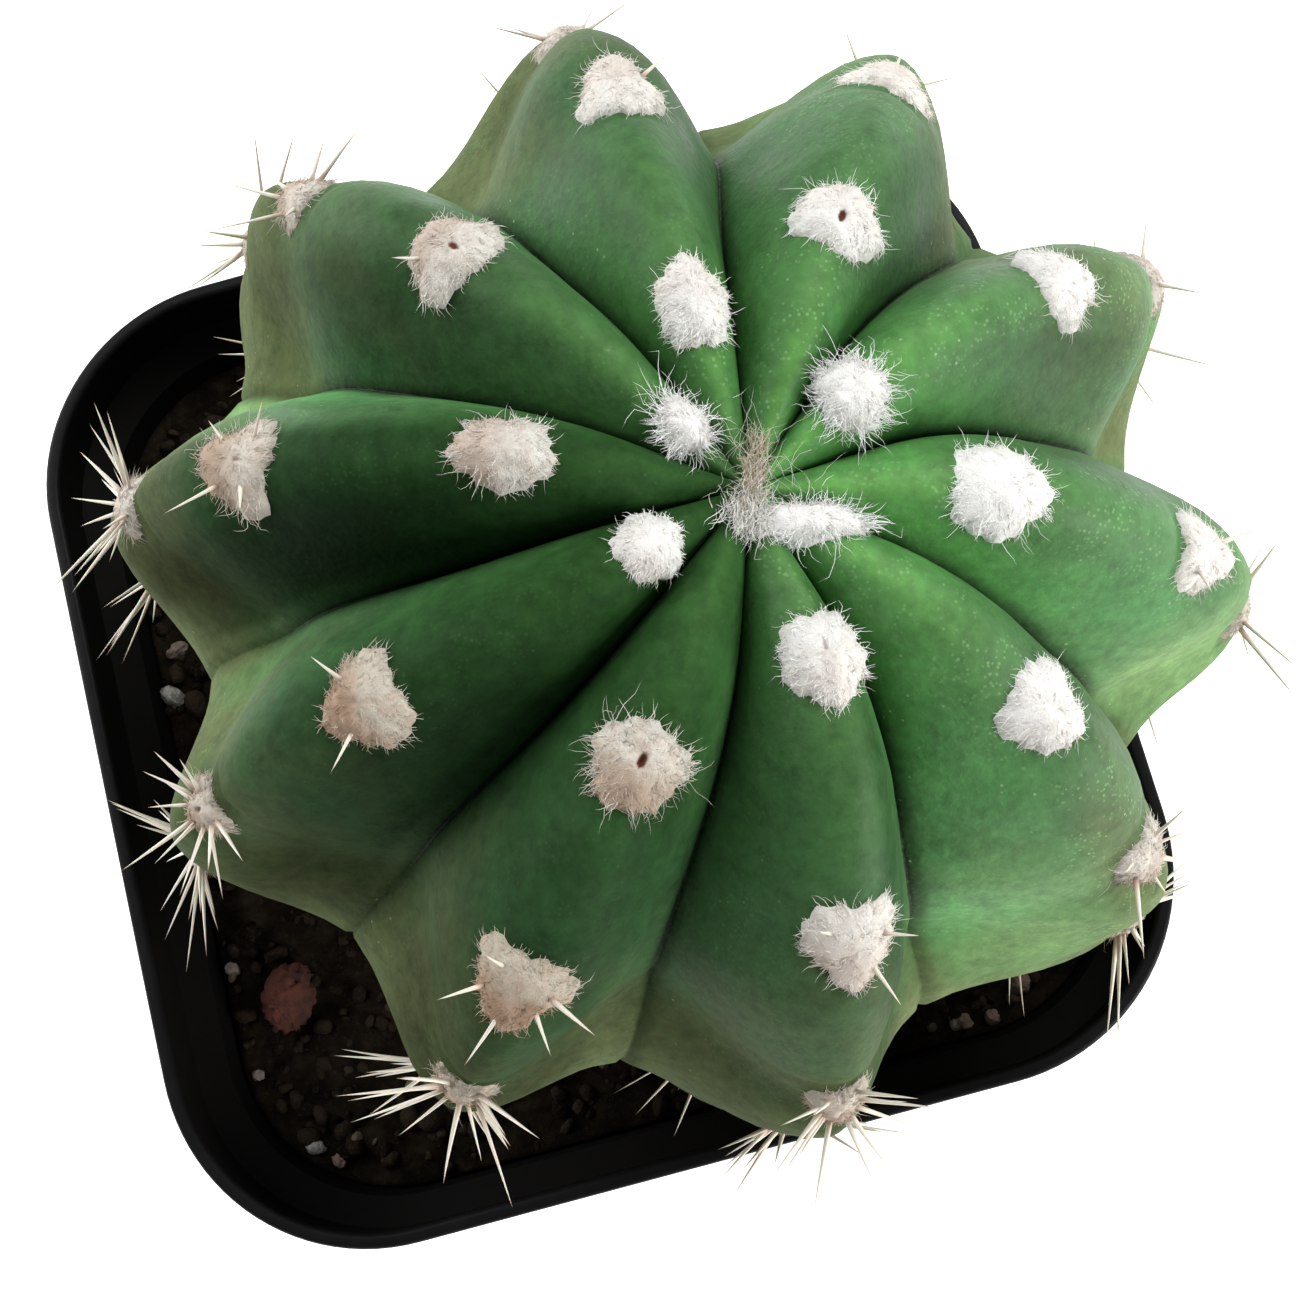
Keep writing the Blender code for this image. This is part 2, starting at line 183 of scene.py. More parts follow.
# The pads that show their spine pit, by rib and number, with its share of the full depth, and the share
# for the other pads
PAD_PITS = {(1, 0): 0.9, (6, 0): 1.0, (3, 1): 0.7, (4, 1): 0.45, (7, 0): 0.4, (0, 2): 0.4, (5, 2): 0.5}
FAINT_PIT = 0.1

# Hairs: how many lie on a pad, stand round it and make one of its tufts, and how many make the strand
# over the growing point and the cobweb beside it; the strand's turn and half its length
FELT_FIBRES = 400
FRINGE_HAIRS = 84
TUFT_HAIRS = 9
STRAND_HAIRS = 760
COBWEB_HAIRS = 60
STRAND_TURN = math.radians(26.0)
STRAND_REACH = 2.7 * MM

# Spines: how many an areole bears and how long they are in millimetres, both against t, each rib's
# share of that number, and how wide an areole's fan is
SPINE_COUNTS = ((0.30, 0.42, 0.60, 0.80, 1.0), (0, 2, 5, 13, 16))
SPINE_LENGTHS = ((0.30, 0.45, 0.70, 1.0, 1.4), (1.4, 2.6, 4.8, 7.4, 7.4))
SPINE_SHARES = (0.3, 0.3, 0.4, 0.8, 1.0, 1.0, 1.0, 1.0, 0.9, 0.5)
SPINE_FAN = math.radians(300.0)

# Pale bits on the soil in sight of the camera: place in millimetres, half width in millimetres and
# how brown they are
PALE_BITS = (
    (-39.2, 9.3, 1.5, 0.0), (-37.9, 13.6, 1.0, 0.8), (-39.0, -17.1, 0.8, 0.5),
    (-38.9, -26.9, 0.7, 0.6), (-35.0, -34.5, 0.9, 0.1), (-33.2, -36.2, 0.7, 0.9),
    (23.6, -38.2, 1.1, 0.9), (29.6, -36.6, 1.2, 1.0), (26.4, -38.9, 1.0, 1.0),
)
CLAY_PLACE = (-34.4, -21.0)
CLAY_SIZE = 3.4 * MM
CRUMBS = 2200
STRAY_PERLITE = 46
GRAIN_JITTER = 0.14

SEEDS = {"sites": 11, "felt": 23, "fringe": 29, "spines": 5, "strand": 31, "grit": 41}

# Lights: name, place in metres, power and colour
LIGHTS = (
    ("key", (0.773, -0.773, 0.455), 12.2, (1.0, 0.99, 0.97)),
    ("side", (0.544, 0.544, 0.955), 9.4, (1.0, 1.0, 0.99)),
    ("back", (-0.544, 0.544, 0.955), 4.6, (0.98, 0.99, 1.0)),
    ("low", (-0.910, 0.607, 0.455), 8.5, (1.0, 1.0, 0.98)),
)
LIGHT_SIZE = 0.6
LIGHT_AIM = (0.0, 0.0, 0.10)
SKY_COLOUR = (0.93, 0.97, 1.0, 1.0)
SKY_STRENGTH = 0.15
FLOOR_HALF = 3.0
FLOOR_DROP = 0.0001
FLOOR_GLOW = 0.90


def ease(low, high, value):
    x = np.clip((np.asarray(value, float) - low) / (high - low), 0.0, 1.0)
    return x * x * (3.0 - 2.0 * x)


def seeded(name):
    return np.random.default_rng(SEEDS[name])


def unit(vectors):
    return vectors / np.maximum(np.linalg.norm(vectors, axis=-1, keepdims=True), 1e-12)


# Meshes

def place_object(name, data):
    made = bpy.data.objects.new(name, data)
    bpy.context.scene.collection.objects.link(made)
    return made


def add_object(name, verts, faces, attributes=None):
    """A smooth mesh object from arrays; attributes are one number a vertex, for the materials."""
    mesh = bpy.data.meshes.new(name)
    mesh.from_pydata(np.asarray(verts).tolist(), [], [list(map(int, f)) for f in faces])
    for key, values in (attributes or {}).items():
        layer = mesh.attributes.new(key, "FLOAT", "POINT")
        layer.data.foreach_set("value", np.asarray(values, np.float32).ravel())
    mesh.shade_smooth()
    return place_object(name, mesh)


def add_rings(name, rings, start, end, attributes=None):
    """A closed object of rings of points that go down its outside, with a fan at each end."""
    total, count = len(rings), len(rings[0])
    first, last = total * count, (total - 1) * count
    faces = []
    for i in range(count):
        j = (i + 1) % count
        faces += [(first, i, j), (first + 1, last + j, last + i)]
    for upper in range(0, last, count):
        lower = upper + count
        for i in range(count):
            j = (i + 1) % count
            faces.append((upper + i, lower + i, lower + j, upper + j))
    return add_object(name, np.concatenate([*rings, [start, end]]), faces, attributes)


def tubes(name, paths, radii, sides, attributes=None):
    """Thin closed tubes that run to a point, one for each path; paths is tubes by points by 3."""
    tube_count, points, _ = paths.shape
    tangent = unit(np.gradient(paths, axis=1))
    reference = np.where(np.abs(tangent[..., 2:3]) < 0.9, [0.0, 0.0, 1.0], [1.0, 0.0, 0.0])
    side = unit(np.cross(tangent, reference))
    other = np.cross(tangent, side)
    angle = 2.0 * np.pi * np.arange(sides) / sides
    cosine, sine = np.cos(angle)[:, None], np.sin(angle)[:, None]
    body = slice(0, points - 1)
    ring = side[:, body, None] * cosine + other[:, body, None] * sine
    ring = paths[:, body, None] + ring * radii[:, body, None, None]
    per_tube = (points - 1) * sides + 1
    verts = np.concatenate([ring.reshape(tube_count, -1, 3), paths[:, -1:]], 1).reshape(-1, 3)
    pattern = [tuple(reversed(range(sides)))]
    for i in range(points - 2):
        for s in range(sides):
            n = (s + 1) % sides
            pattern.append((i * sides + s, i * sides + n, (i + 1) * sides + n, (i + 1) * sides + s))
    top = (points - 2) * sides
    pattern += [(top + s, top + (s + 1) % sides, per_tube - 1) for s in range(sides)]
    faces = [[v + tube * per_tube for v in face] for tube in range(tube_count) for face in pattern]
    spread = {key: np.repeat(values, per_tube) for key, values in (attributes or {}).items()}
    along = np.concatenate([np.repeat(np.linspace(0, 1, points)[:-1], sides), [1.0]])
    spread["length_share"] = np.tile(along, tube_count)
    return add_object(name, verts, faces, spread)


def grains(name, places, sizes, draw, detail, attributes=None):
    """Uneven grains of the given sizes: jittered balls, each turned and squashed at random."""
    bm = bmesh.new()
    bmesh.ops.create_icosphere(bm, subdivisions=detail, radius=1.0)
    base = np.array([v.co[:] for v in bm.verts])
    pattern = np.array([[v.index for v in f.verts] for f in bm.faces])
    bm.free()
    count = len(places)
    turns = unit(draw.normal(size=(count, 4)))
    rotation = np.array([Quaternion(turn).to_matrix() for turn in turns])
    shape = base[None] * (1.0 + draw.uniform(-GRAIN_JITTER, GRAIN_JITTER, (count, len(base), 1)))
    shape = shape * np.stack([draw.uniform(0.8, 1.3, count), draw.uniform(0.6, 1.0, count),
                              draw.uniform(0.55, 0.85, count)], 1)[:, None]
    verts = np.einsum("nij,nvj->nvi", rotation, shape) * np.asarray(sizes)[:, None, None]
    verts = (verts + np.asarray(places)[:, None]).reshape(-1, 3)
    faces = (pattern[None] + len(base) * np.arange(count)[:, None, None]).reshape(-1, 3)
    spread = {key: np.repeat(values, len(base)) for key, values in (attributes or {}).items()}
    return add_object(name, verts, faces, spread)


# Stem surface

def crest_place(t):
    angle = t * np.pi / 2.0
    side = np.abs(np.sin(angle)) ** (2.0 / CREST_POWER)
    rise = np.sign(np.cos(angle)) * np.abs(np.cos(angle)) ** (2.0 / CREST_POWER)
    radius = CREST_RADIUS * side
    height = np.where(rise > 0.0, CREST_HEIGHT, UNDER_HEIGHT) * rise
    return radius, height - DIMPLE_DEPTH * np.exp(-((radius / DIMPLE_WIDTH) ** 2))


def crest_line(t):
    """Radius and height of a rib's crest, and its outward normal, in the stem's own frame."""
    radius, height = crest_place(t)
    ahead, behind = crest_place(t + T_STEP), crest_place(np.maximum(0.001, t - T_STEP))
    run = unit(np.stack([ahead[0] - behind[0], ahead[1] - behind[1]], -1))
    return radius, height, -run[..., 1], run[..., 0]


def rib_azimuth(rib, t):
    turns, index = divmod(rib, len(RIBS))
    top, flank = RIBS[index][0], RIBS[index][1]
    return np.radians(top + (flank - top) * ease(*TURN_RANGE, t) + 360.0 * turns)


def valley_depth(t, radius):
    opened = 1.0 - np.exp(-((radius / VALLEY_START) ** 1.5))
    depth = VALLEY_DEPTH + (VALLEY_DEPTH_MIDDLE - VALLEY_DEPTH) * ease(*MIDDLE_RANGE, t)
    depth += (VALLEY_DEPTH_LOW - VALLEY_DEPTH_MIDDLE) * ease(*LOW_RANGE, t)
    neck = 1.0 - ease(*NECK_RANGE, t)
    return opened * depth * (0.25 + 0.75 * neck)


def rib_drop(across, t):
    """Share of the valley's depth: pillows that meet in a crease near the apex, round crests on the
    flank and a gentle wave low down."""
    pillow = 1.0 - (1.0 - across ** 2.2) ** 0.6
    crown = 1.0 - (1.0 - across ** 2.0) ** 1.5
    wave = (1.0 - np.cos(np.pi * across ** WAVE_POWER)) / 2.0
    flank = pillow + (crown - pillow) * ease(*CROWN_RANGE, t)
    return flank + (wave - flank) * ease(*WAVE_RANGE, t)


def valley_azimuth(rib, side, t):
    share = RIBS[rib % len(RIBS)][4] if side > 0 else 1.0 - RIBS[(rib - 1) % len(RIBS)][4]
    crest = rib_azimuth(rib, t)
    return crest + share * (rib_azimuth(rib + side, t) - crest)


def chin(rib, across, t):
    """Swelling of the rib below each areole, which leaves the areole in a shallow notch."""
    first, pitch = RIBS[rib % len(RIBS)][2:4]
    phase = ((t - first) / pitch) % 1.0
    rise = ease(0.0, 0.30, phase) * (1.0 - ease(0.30, 1.0, phase))
    return CHIN_HEIGHT * rise * ease(0.1, 0.5, t) * (1.0 - across ** 2) ** 2


def stem_axes():
    up = Vector((math.tan(math.radians(LEAN_X)), math.tan(math.radians(LEAN_Y)), 1.0)).normalized()
    right = (Vector((1, 0, 0)) - up * up.x).normalized()
    return np.array(right), np.array(up.cross(right)), np.array(up)


def stem_points(rib, side, across, t, lift=0.0):
    """Points of the stem: across from 0 at the rib's crest to 1 at the valley on one side of it."""
    across, t = np.broadcast_arrays(np.asarray(across, float), np.asarray(t, float))
    radius, height, out, up = crest_line(t)
    crest = rib_azimuth(rib, t)
    angle = crest + across * (valley_azimuth(rib, side, t) - crest)
    move = chin(rib, across, t) - valley_depth(t, radius) * rib_drop(across, t) + lift
    radius = radius + move * out
    height = height + move * up
    x, y = radius * np.cos(angle), radius * np.sin(angle)
    right, away, axis = stem_axes()
    leaning = np.array(STEM_CENTRE) + x[..., None] * right + y[..., None] * away
    leaning = leaning + height[..., None] * axis
    standing = np.stack([NECK_CENTRE.x + x, NECK_CENTRE.y + y, STEM_CENTRE.z + height], -1)
    return leaning + (standing - leaning) * ease(*UPRIGHT_RANGE, t)[..., None]


def areole_places():
    """Rib, number and t of each areole."""
    return [(rib, number, first + number * pitch) for rib, (_, _, first, pitch, _) in enumerate(RIBS)
            for number in range(math.ceil((AREOLE_LAST - first) / pitch))]


def areole_frame(rib, t):
    """Point, sideways, downward and outward directions at a place on a rib's crest."""
    centre = stem_points(rib, 1, 0.0, t)
    down = unit(stem_points(rib, 1, 0.0, t + 0.03) - stem_points(rib, 1, 0.0, max(0.005, t - 0.03)))
    sideways = stem_points(rib, 1, 0.2, t) - stem_points(rib, -1, 0.2, t)
    sideways = unit(sideways - down * sideways.dot(down))
    return {"centre": centre, "sideways": sideways, "down": down, "outward": np.cross(down, sideways)}


def notch(rib, across, t):
    """Fine relief of the crest at its areoles: a low seat for the wool and a fold just above it."""
    first, pitch = RIBS[rib % len(RIBS)][2:4]
    nearest = first + pitch * np.round((t - first) / pitch)
    along = (t - nearest) * CREST_RADIUS * 1.45
    beside = across * 9.0 * MM
    seat = -NOTCH_DEPTH * np.exp(-((along / (2.6 * MM)) ** 2) - (beside / (3.0 * MM)) ** 2)
    fold = -NOTCH_DEPTH * np.exp(-(((along + 3.5 * MM) / (0.7 * MM)) ** 2) - (beside / (2.2 * MM)) ** 2)
    return seat + fold * ease(0.25, 0.5, t)


def valley_groove(across, t):
    """The thin crease along the bottom of a valley."""
    beside = (1.0 - across) * 12.0 * MM
    return -CREASE_DEPTH * np.exp(-((beside / (0.45 * MM)) ** 2)) * ease(0.1, 0.4, t)


def neck_ring(radius, angles, level):
    return np.stack([NECK_CENTRE.x + radius * np.cos(angles), NECK_CENTRE.y + radius * np.sin(angles),
                     np.full(len(angles), level)], 1)


def stem_light_and_shade(rib, side, across, t):
    """Painted light and shade on the skin, partly its own lightness: each rib's own, half shared with the
    neighbour at the valley between them, and what the tables add for the low end, the flank, the apex and
    the valley."""
    own, beside = rib % len(RIBS), (rib + side) % len(RIBS)
    bright = RIB_TONE_AND_LIGHT[own]
    shared = 0.5 * ease(0.35, 1.0, across)
    tone = bright + (RIB_TONE_AND_LIGHT[beside] - bright) * shared
    end = RIB_END_LIGHT[own] + (RIB_END_LIGHT[beside] - RIB_END_LIGHT[own]) * shared
    end = 1.0 + (end - 1.0) * (1.0 - 0.6 * bright * ease(0.5, 0.95, across))
    tone *= 1.0 + (end - 1.0) * ease(0.38, 0.78, t)
    flank = ease(0.1, 0.5, across) * (1.0 - ease(0.8, 1.0, across))
    flank = flank * ease(0.1, 0.4, t) * (1.0 - ease(0.80, 1.05, t))
    tone *= 1.0 + FLANK_PAINTED_LIGHT[own][0 if side > 0 else 1] * flank
    tone *= 1.0 + APEX_LIFT * (1.0 - ease(0.06, 0.30, t))
    lift = VALLEY_PAINTED_LIGHT * ease(0.4, 0.85, across) * ease(0.1, 0.3, t)
    return tone * (1.0 + lift * (1.0 + (1.2 - 2.2 * bright) * ease(0.55, 0.90, t)))


def build_stem():
    steps = (1.0 - np.cos(np.pi * np.arange(HALF_RIB_STEPS + 1) / HALF_RIB_STEPS)) / 2.0
    levels = T_FIRST + (T_LAST - T_FIRST) * (np.arange(STEM_RINGS) / (STEM_RINGS - 1)) ** 1.1
    strips = []
    for rib in range(len(RIBS)):
        for owner, side, run in ((rib, 1, steps), (rib + 1, -1, steps[-2:0:-1])):
            across, t = np.meshgrid(run, levels)
            fine = notch(owner, across, t) + valley_groove(across, t)
            points = stem_points(owner, side, across, t, fine)
            strips.append(np.dstack([points, across, stem_light_and_shade(owner, side, across, t)]))
    grid = np.concatenate(strips, 1)
    points, count = grid[..., :3], grid.shape[1]
    swell = np.array([[noise.fractal(Vector(p) * 90.0, 0.9, 2.1, 3) for p in ring] for ring in points])
    swell *= ease(0.05, 0.3, levels)[:, None]
    rings = [*(points + unit(points - np.array(STEM_CENTRE)) * (SWELL * swell)[..., None])]
    angles = np.arctan2(points[-1, :, 1] - NECK_CENTRE.y, points[-1, :, 0] - NECK_CENTRE.x)
    rings += [neck_ring(NECK_RADIUS, angles, level) for level in (NECK_TOP, NECK_BOTTOM)]
    apex = points[0].mean(0) - stem_axes()[2] * 0.1 * MM
    along = np.concatenate([np.repeat(levels, count), np.full(2 * count, T_LAST), [0.0, T_LAST]])
    across = np.concatenate([grid[..., 3].ravel(), np.full(2 * count, 0.5), [0.0, 0.5]])
    tones = np.concatenate([grid[..., 4].ravel(), np.ones(2 * count + 2)])
    return add_rings("stem", rings, apex, [NECK_CENTRE.x, NECK_CENTRE.y, NECK_BOTTOM],
                     {"along": along, "across": across, "tone": tones})


def surface_of(piece):
    """A search tree of a piece's surface, to seat other pieces on it."""
    mesh = piece.data
    return BVHTree.FromPolygons([v.co for v in mesh.vertices], [p.vertices for p in mesh.polygons])


def seat(tree, points, outward):
    """Drops points on the surface along minus outward."""
    seated = []
    for point in points:
        hit = tree.ray_cast(Vector(point + 4.0 * MM * outward), -Vector(outward), 12.0 * MM)[0]
        seated.append(hit or Vector(point - 1.5 * MM * outward))
    return np.array(seated)


class Hairs:
    """Hairs that one piece gathers: paths, radii, and a value a hair for each attribute."""

    def __init__(self):
        self.parts = {}

    def add(self, **parts):
        for key, values in parts.items():
            self.parts.setdefault(key, []).append(values)

    def build(self, name, sides=3):
        parts = {key: np.concatenate(values) for key, values in self.parts.items()}
        return tubes(name, parts.pop("paths"), parts.pop("radii"), sides, parts)


# Areoles

def pad_outline(angle, age, phase):
    """Outline of a felted pad: ragged and nearly round, with three corners at a middle age."""
    lobes = 0.03 + 0.19 * age * (1.0 - 0.7 * age ** 4)
    lobes = lobes * np.cos(3.0 * (angle - np.pi / 2.0) + 0.6 * phase)
    ragged = 0.06 * np.sin(5.0 * angle + 5.0 * phase) + 0.05 * np.sin(13.0 * angle + 5.0 * phase)
    return 1.0 + lobes + ragged


def areole_style(rib, number, t, draw):
    """Half width, half length, height, turn, fringe factor and age, 0 to 1, of an areole."""
    age = float(ease(0.18, 0.75, t))
    if number == 0:
        wide, tall, turn, fringe = FIRST_PADS[rib]
    else:
        largest = SECOND_PAD if number == 1 else LATER_PAD
        wide, tall = draw.uniform(largest - 0.6, largest), draw.uniform(largest - 0.6, largest)
        turn, fringe = draw.uniform(-15.0, 15.0), draw.uniform(0.5, 0.9)
    return {"wide": wide * MM, "tall": tall * MM, "height": (1.0 - 0.3 * age) * MM,
            "turn": math.radians(turn), "fringe": fringe, "age": age}


def pad_surface(site, rho, angle):
    """Points of a pad's felted face; rho is 0 at its middle and 1 at its edge."""
    outline = 1.0 + (pad_outline(angle, site.age, site.phase) - 1.0) * rho ** 2
    u = rho * outline * site.wide * np.cos(angle)
    v = rho * outline * site.tall * np.sin(angle)
    cosine, sine = math.cos(site.turn), math.sin(site.turn)
    x, y = u * cosine - v * sine, u * sine + v * cosine
    sag = np.interp(angle, [*SPOKE_ANGLES, 2.0 * np.pi], [*site.sag, site.sag[0]])
    dome = site.height * (1.0 - rho ** 3.0) ** 0.75
    flat = site.centre + x[..., None] * site.sideways + y[..., None] * site.down
    slit = site.slit * np.exp(-((x / PIT_HALF_WIDTH) ** 2) - ((y + 0.5 * MM) / PIT_HALF_LENGTH) ** 2)
    rise = dome - sag * rho ** 2 - PIT_DEPTH * slit
    return flat + rise[..., None] * site.outward, slit, y / site.tall


def areole_sites(tree):
    """Where each areole sits, how it faces and how far the rib falls away below its edge."""
    draw = seeded("sites")
    sites = []
    for rib, number, t in areole_places():
        site = SimpleNamespace(t=t, rib=rib, sag=np.zeros(PAD_SPOKES), **areole_frame(rib, t),
                               **areole_style(rib, number, t, draw))
        site.phase, site.tone = draw.uniform(-0.6, 0.6), draw.uniform(0.4, 1.0)
        site.slit = PAD_PITS.get((rib, number), FAINT_PIT)
        if number < 2:
            site.tone = PAD_RUST_AND_SHADE[rib][number]
        edge, _, _ = pad_surface(site, np.ones(PAD_SPOKES), SPOKE_ANGLES)
        fall = ((edge - seat(tree, edge, site.outward)) * site.outward).sum(1)
        fall = np.clip(fall, -0.5 * MM, 0.42 * min(site.wide, site.tall))
        for _ in range(3):
            fall = (np.roll(fall, 1) + fall + np.roll(fall, -1)) / 3.0
        site.sag = fall
        sites.append(site)
    return sites


def build_pads(sites):
    """The felted pads, each a low cushion that is sunk in the crest."""
    spokes, hoops = PAD_SPOKES, PAD_HOOPS
    rho = (np.arange(1, hoops + 1) / hoops)[:, None]
    verts, faces, ages, slits, lows, tones = [], [], [], [], [], []
    for site in sites:
        ring, slit, low = pad_surface(site, *np.broadcast_arrays(rho, SPOKE_ANGLES))
        lump = np.array([noise.fractal(Vector(p) * 1100.0, 0.7, 2.2, 3) for p in ring.reshape(-1, 3)])
        lump = PAD_LUMP * lump.reshape(hoops, spokes, 1) * (1.0 - rho ** 6)[..., None]
        ring = ring + lump * site.outward
        middle = ring[0].mean(0)
        skirt = ring[-1] * 0.9 + middle * 0.1 - site.outward * PAD_SKIRT
        start = len(verts)
        verts += [middle, *ring.reshape(-1, 3), *skirt]
        faces += [(start, start + 1 + i, start + 1 + (i + 1) % spokes) for i in range(spokes)]
        for hoop in range(hoops):
            a, b = start + 1 + hoop * spokes, start + 1 + (hoop + 1) * spokes
            faces += [(a + i, b + i, b + (i + 1) % spokes, a + (i + 1) % spokes) for i in range(spokes)]
        faces.append([start + 1 + hoops * spokes + i for i in reversed(range(spokes))])
        count = 1 + (hoops + 1) * spokes
        ages += [site.age] * count
        tones += [site.tone] * count
        slits += [slit[0].mean(), *slit.ravel(), *np.zeros(spokes)]
        lows += [0.0, *low.ravel(), *low[-1]]
    attributes = {"age": ages, "slit": slits, "low": lows, "tone": tones}
    return add_object("areole_pads", verts, faces, attributes)


def build_felt(sites):
    """Short matted fibres over every pad, which lean outward at its edge."""
    draw, hairs = seeded("felt"), Hairs()
    for site in sites:
        angle = draw.uniform(0.0, 2.0 * np.pi, FELT_FIBRES)
        rho = draw.uniform(0.0, 1.0, FELT_FIBRES) ** 0.42
        roots, slit, low = pad_surface(site, rho, angle)
        outer, _, _ = pad_surface(site, np.minimum(1.0, rho + 0.04), angle)
        inner, _, _ = pad_surface(site, np.maximum(0.0, rho - 0.04), angle)
        keep = slit < 0.3
        roots, low, rho, run = roots[keep], low[keep], rho[keep], unit(outer - inner)[keep]
        count = len(roots)
        swirl = np.cross(site.outward, run)
        heading = unit(run + draw.normal(0.0, 0.9, (count, 1)) * swirl)
        lift = draw.uniform(0.15, 0.60, (count, 1)) * (1.0 - 0.7 * rho[:, None] ** 4)
        length = draw.uniform(0.35, 0.95, count) * MM
        length = length * np.where(rho > 0.8, draw.uniform(0.9, 1.8, count), 1.0)
        direction = unit(heading + lift * site.outward)
        roots = roots - 0.08 * MM * site.outward
        bend = unit(draw.normal(size=(count, 3))) * (0.16 * length)[:, None]
        middle = roots + direction * (0.5 * length)[:, None] + bend
        tip = roots + direction * length[:, None] - site.outward * (0.12 * length)[:, None]
        hairs.add(paths=np.stack([roots, middle, tip], 1),
                  radii=draw.uniform(0.020, 0.036, (count, 1)) * MM * np.array([1.0, 0.85, 0.0]),
                  age=np.full(count, site.age), low=low,
                  tone=np.clip(site.tone + draw.normal(0.0, 0.15, count), 0.0, 1.0))
    return hairs.build("areole_felt")


def build_fringe(sites):
    """Hair round each pad: wandering hairs, dense and long on the youngest areoles, and tufts."""
    draw, gathered = seeded("fringe"), Hairs()

    def keep(site, paths, width):
        count = len(paths)
        gathered.add(paths=paths, radii=width * MM * np.linspace(1.0, 0.35, 5),
                     age=np.full(count, site.age), tone=np.full(count, site.tone))

    for site in sites:
        shaggy = max(0.0, site.fringe - 0.9)
        outward = site.outward
        count = int(FRINGE_HAIRS + 240 * shaggy)
        around = draw.uniform(0.0, 2.0 * np.pi, count)
        roots, _, _ = pad_surface(site, draw.uniform(0.72, 1.0, count), around)
        inner, _, _ = pad_surface(site, np.full(count, 0.5), around)
        heading = unit(roots - inner)
        swirl = draw.normal(0.0, 0.45, count)[:, None]
        heading = unit(heading + swirl * np.cross(outward, heading))
        length = draw.gamma(3.0, 0.27, count) * site.fringe * MM + 0.25 * MM
        curl = 0.28 + 0.28 * min(1.0, shaggy)
        made = wool_paths(draw, roots, heading, outward, length, curl, draw.uniform(0.0, 0.45, count))
        keep(site, made, draw.uniform(0.018, 0.030, (count, 1)) * (1.0 + 0.25 * min(1.0, shaggy)))
        tufts = 6 + int(15 * shaggy)
        hairs = TUFT_HAIRS
        for start in draw.uniform(0.0, 2.0 * np.pi, tufts):
            around = (start + draw.normal(0.0, 0.13, hairs)) % (2.0 * np.pi)
            roots, _, _ = pad_surface(site, draw.uniform(0.82, 0.99, hairs), around)
            anchor, _, _ = pad_surface(site, np.array([0.95, 0.75]), np.array([start, start]))
            run = unit(anchor[0] - anchor[1])
            aside = draw.normal(0.0, 0.40) * np.cross(outward, run)
            heading = unit(run + aside + draw.uniform(0.0, 0.30) * outward)
            reach = draw.gamma(5.0, 0.17) * site.fringe * MM * draw.uniform(0.7, 1.1, (hairs, 1))
            tips = anchor[0] + heading * reach + draw.normal(0.0, 0.07, (hairs, 3)) * MM
            share = np.linspace(0.0, 1.0, 5)[:, None]
            bend = draw.normal(0.0, 0.45, (hairs, 1, 3)) * reach[:, None] * (share * (1.0 - share))
            keep(site, roots[:, None] * (1.0 - share) + tips[:, None] * share + bend,
                 draw.uniform(0.018, 0.032, (hairs, 1)))
    return gathered.build("areole_fringe")


def wool_paths(draw, roots, heading, outward, length, curl, lift, points=5):
    """Curly hairs: each starts at its root along its heading and wanders, never far into the skin."""
    count = len(roots)
    step = (length / (points - 1))[:, None]
    path = [roots]
    direction = unit(heading + lift[:, None] * outward)
    for _ in range(points - 1):
        direction = unit(direction + curl * draw.normal(size=(count, 3)))
        dip = np.minimum(0.0, (direction * outward).sum(1, keepdims=True) + 0.1)
        direction = unit(direction - dip * outward)
        path.append(path[-1] + direction * step)
    return np.stack(path, 1)


def build_spines(sites):
    """Needles in a fan about the lower side of each pad: few and short when young, long when old."""
    draw, gathered = seeded("spines"), Hairs()
    for site in sites:
        count = int(round(np.interp(site.t, *SPINE_COUNTS) * SPINE_SHARES[site.rib]))
        length = np.interp(site.t, *SPINE_LENGTHS) * MM
        for i in range(count):
            turn = (i + 0.5 + draw.uniform(-0.4, 0.4) - count / 2.0) / count
            turn = math.pi / 2.0 + turn * SPINE_FAN
            lift = draw.uniform(0.20, 0.80)
            spread = site.sideways * math.cos(turn) + site.down * math.sin(turn)
            direction = unit(spread + site.outward * lift)
            root = site.centre + spread * draw.uniform(0.4, 0.7) * site.tall
            reach = length * draw.uniform(0.55, 1.30) * (1.0 + 0.12 * math.sin(turn))
            for _ in range(12):
                tip = root + direction * reach
                over_lip = max(abs(tip[0]), abs(tip[1])) > POT_WIDTH / 2.0 - 9.0 * MM
                if not over_lip or tip[2] > POT_HEIGHT + 1.5 * MM:
                    break
                direction = unit(direction + np.array([0.0, 0.0, 0.2]))
            bend = np.cross(direction, unit(draw.normal(size=3))) * reach * draw.uniform(-0.05, 0.05)
            s = np.linspace(0.0, 1.0, 6)[:, None]
            path = root + direction * reach * s + bend * s * s
            width = draw.uniform(0.15, 0.22) * MM * (0.65 + 0.35 * min(1.0, reach / (5.0 * MM)))
            gathered.add(paths=[path], radii=[width * (1.0 - s[:, 0] ** 1.3) + 0.012 * MM])
    return gathered.build("spines", 6)


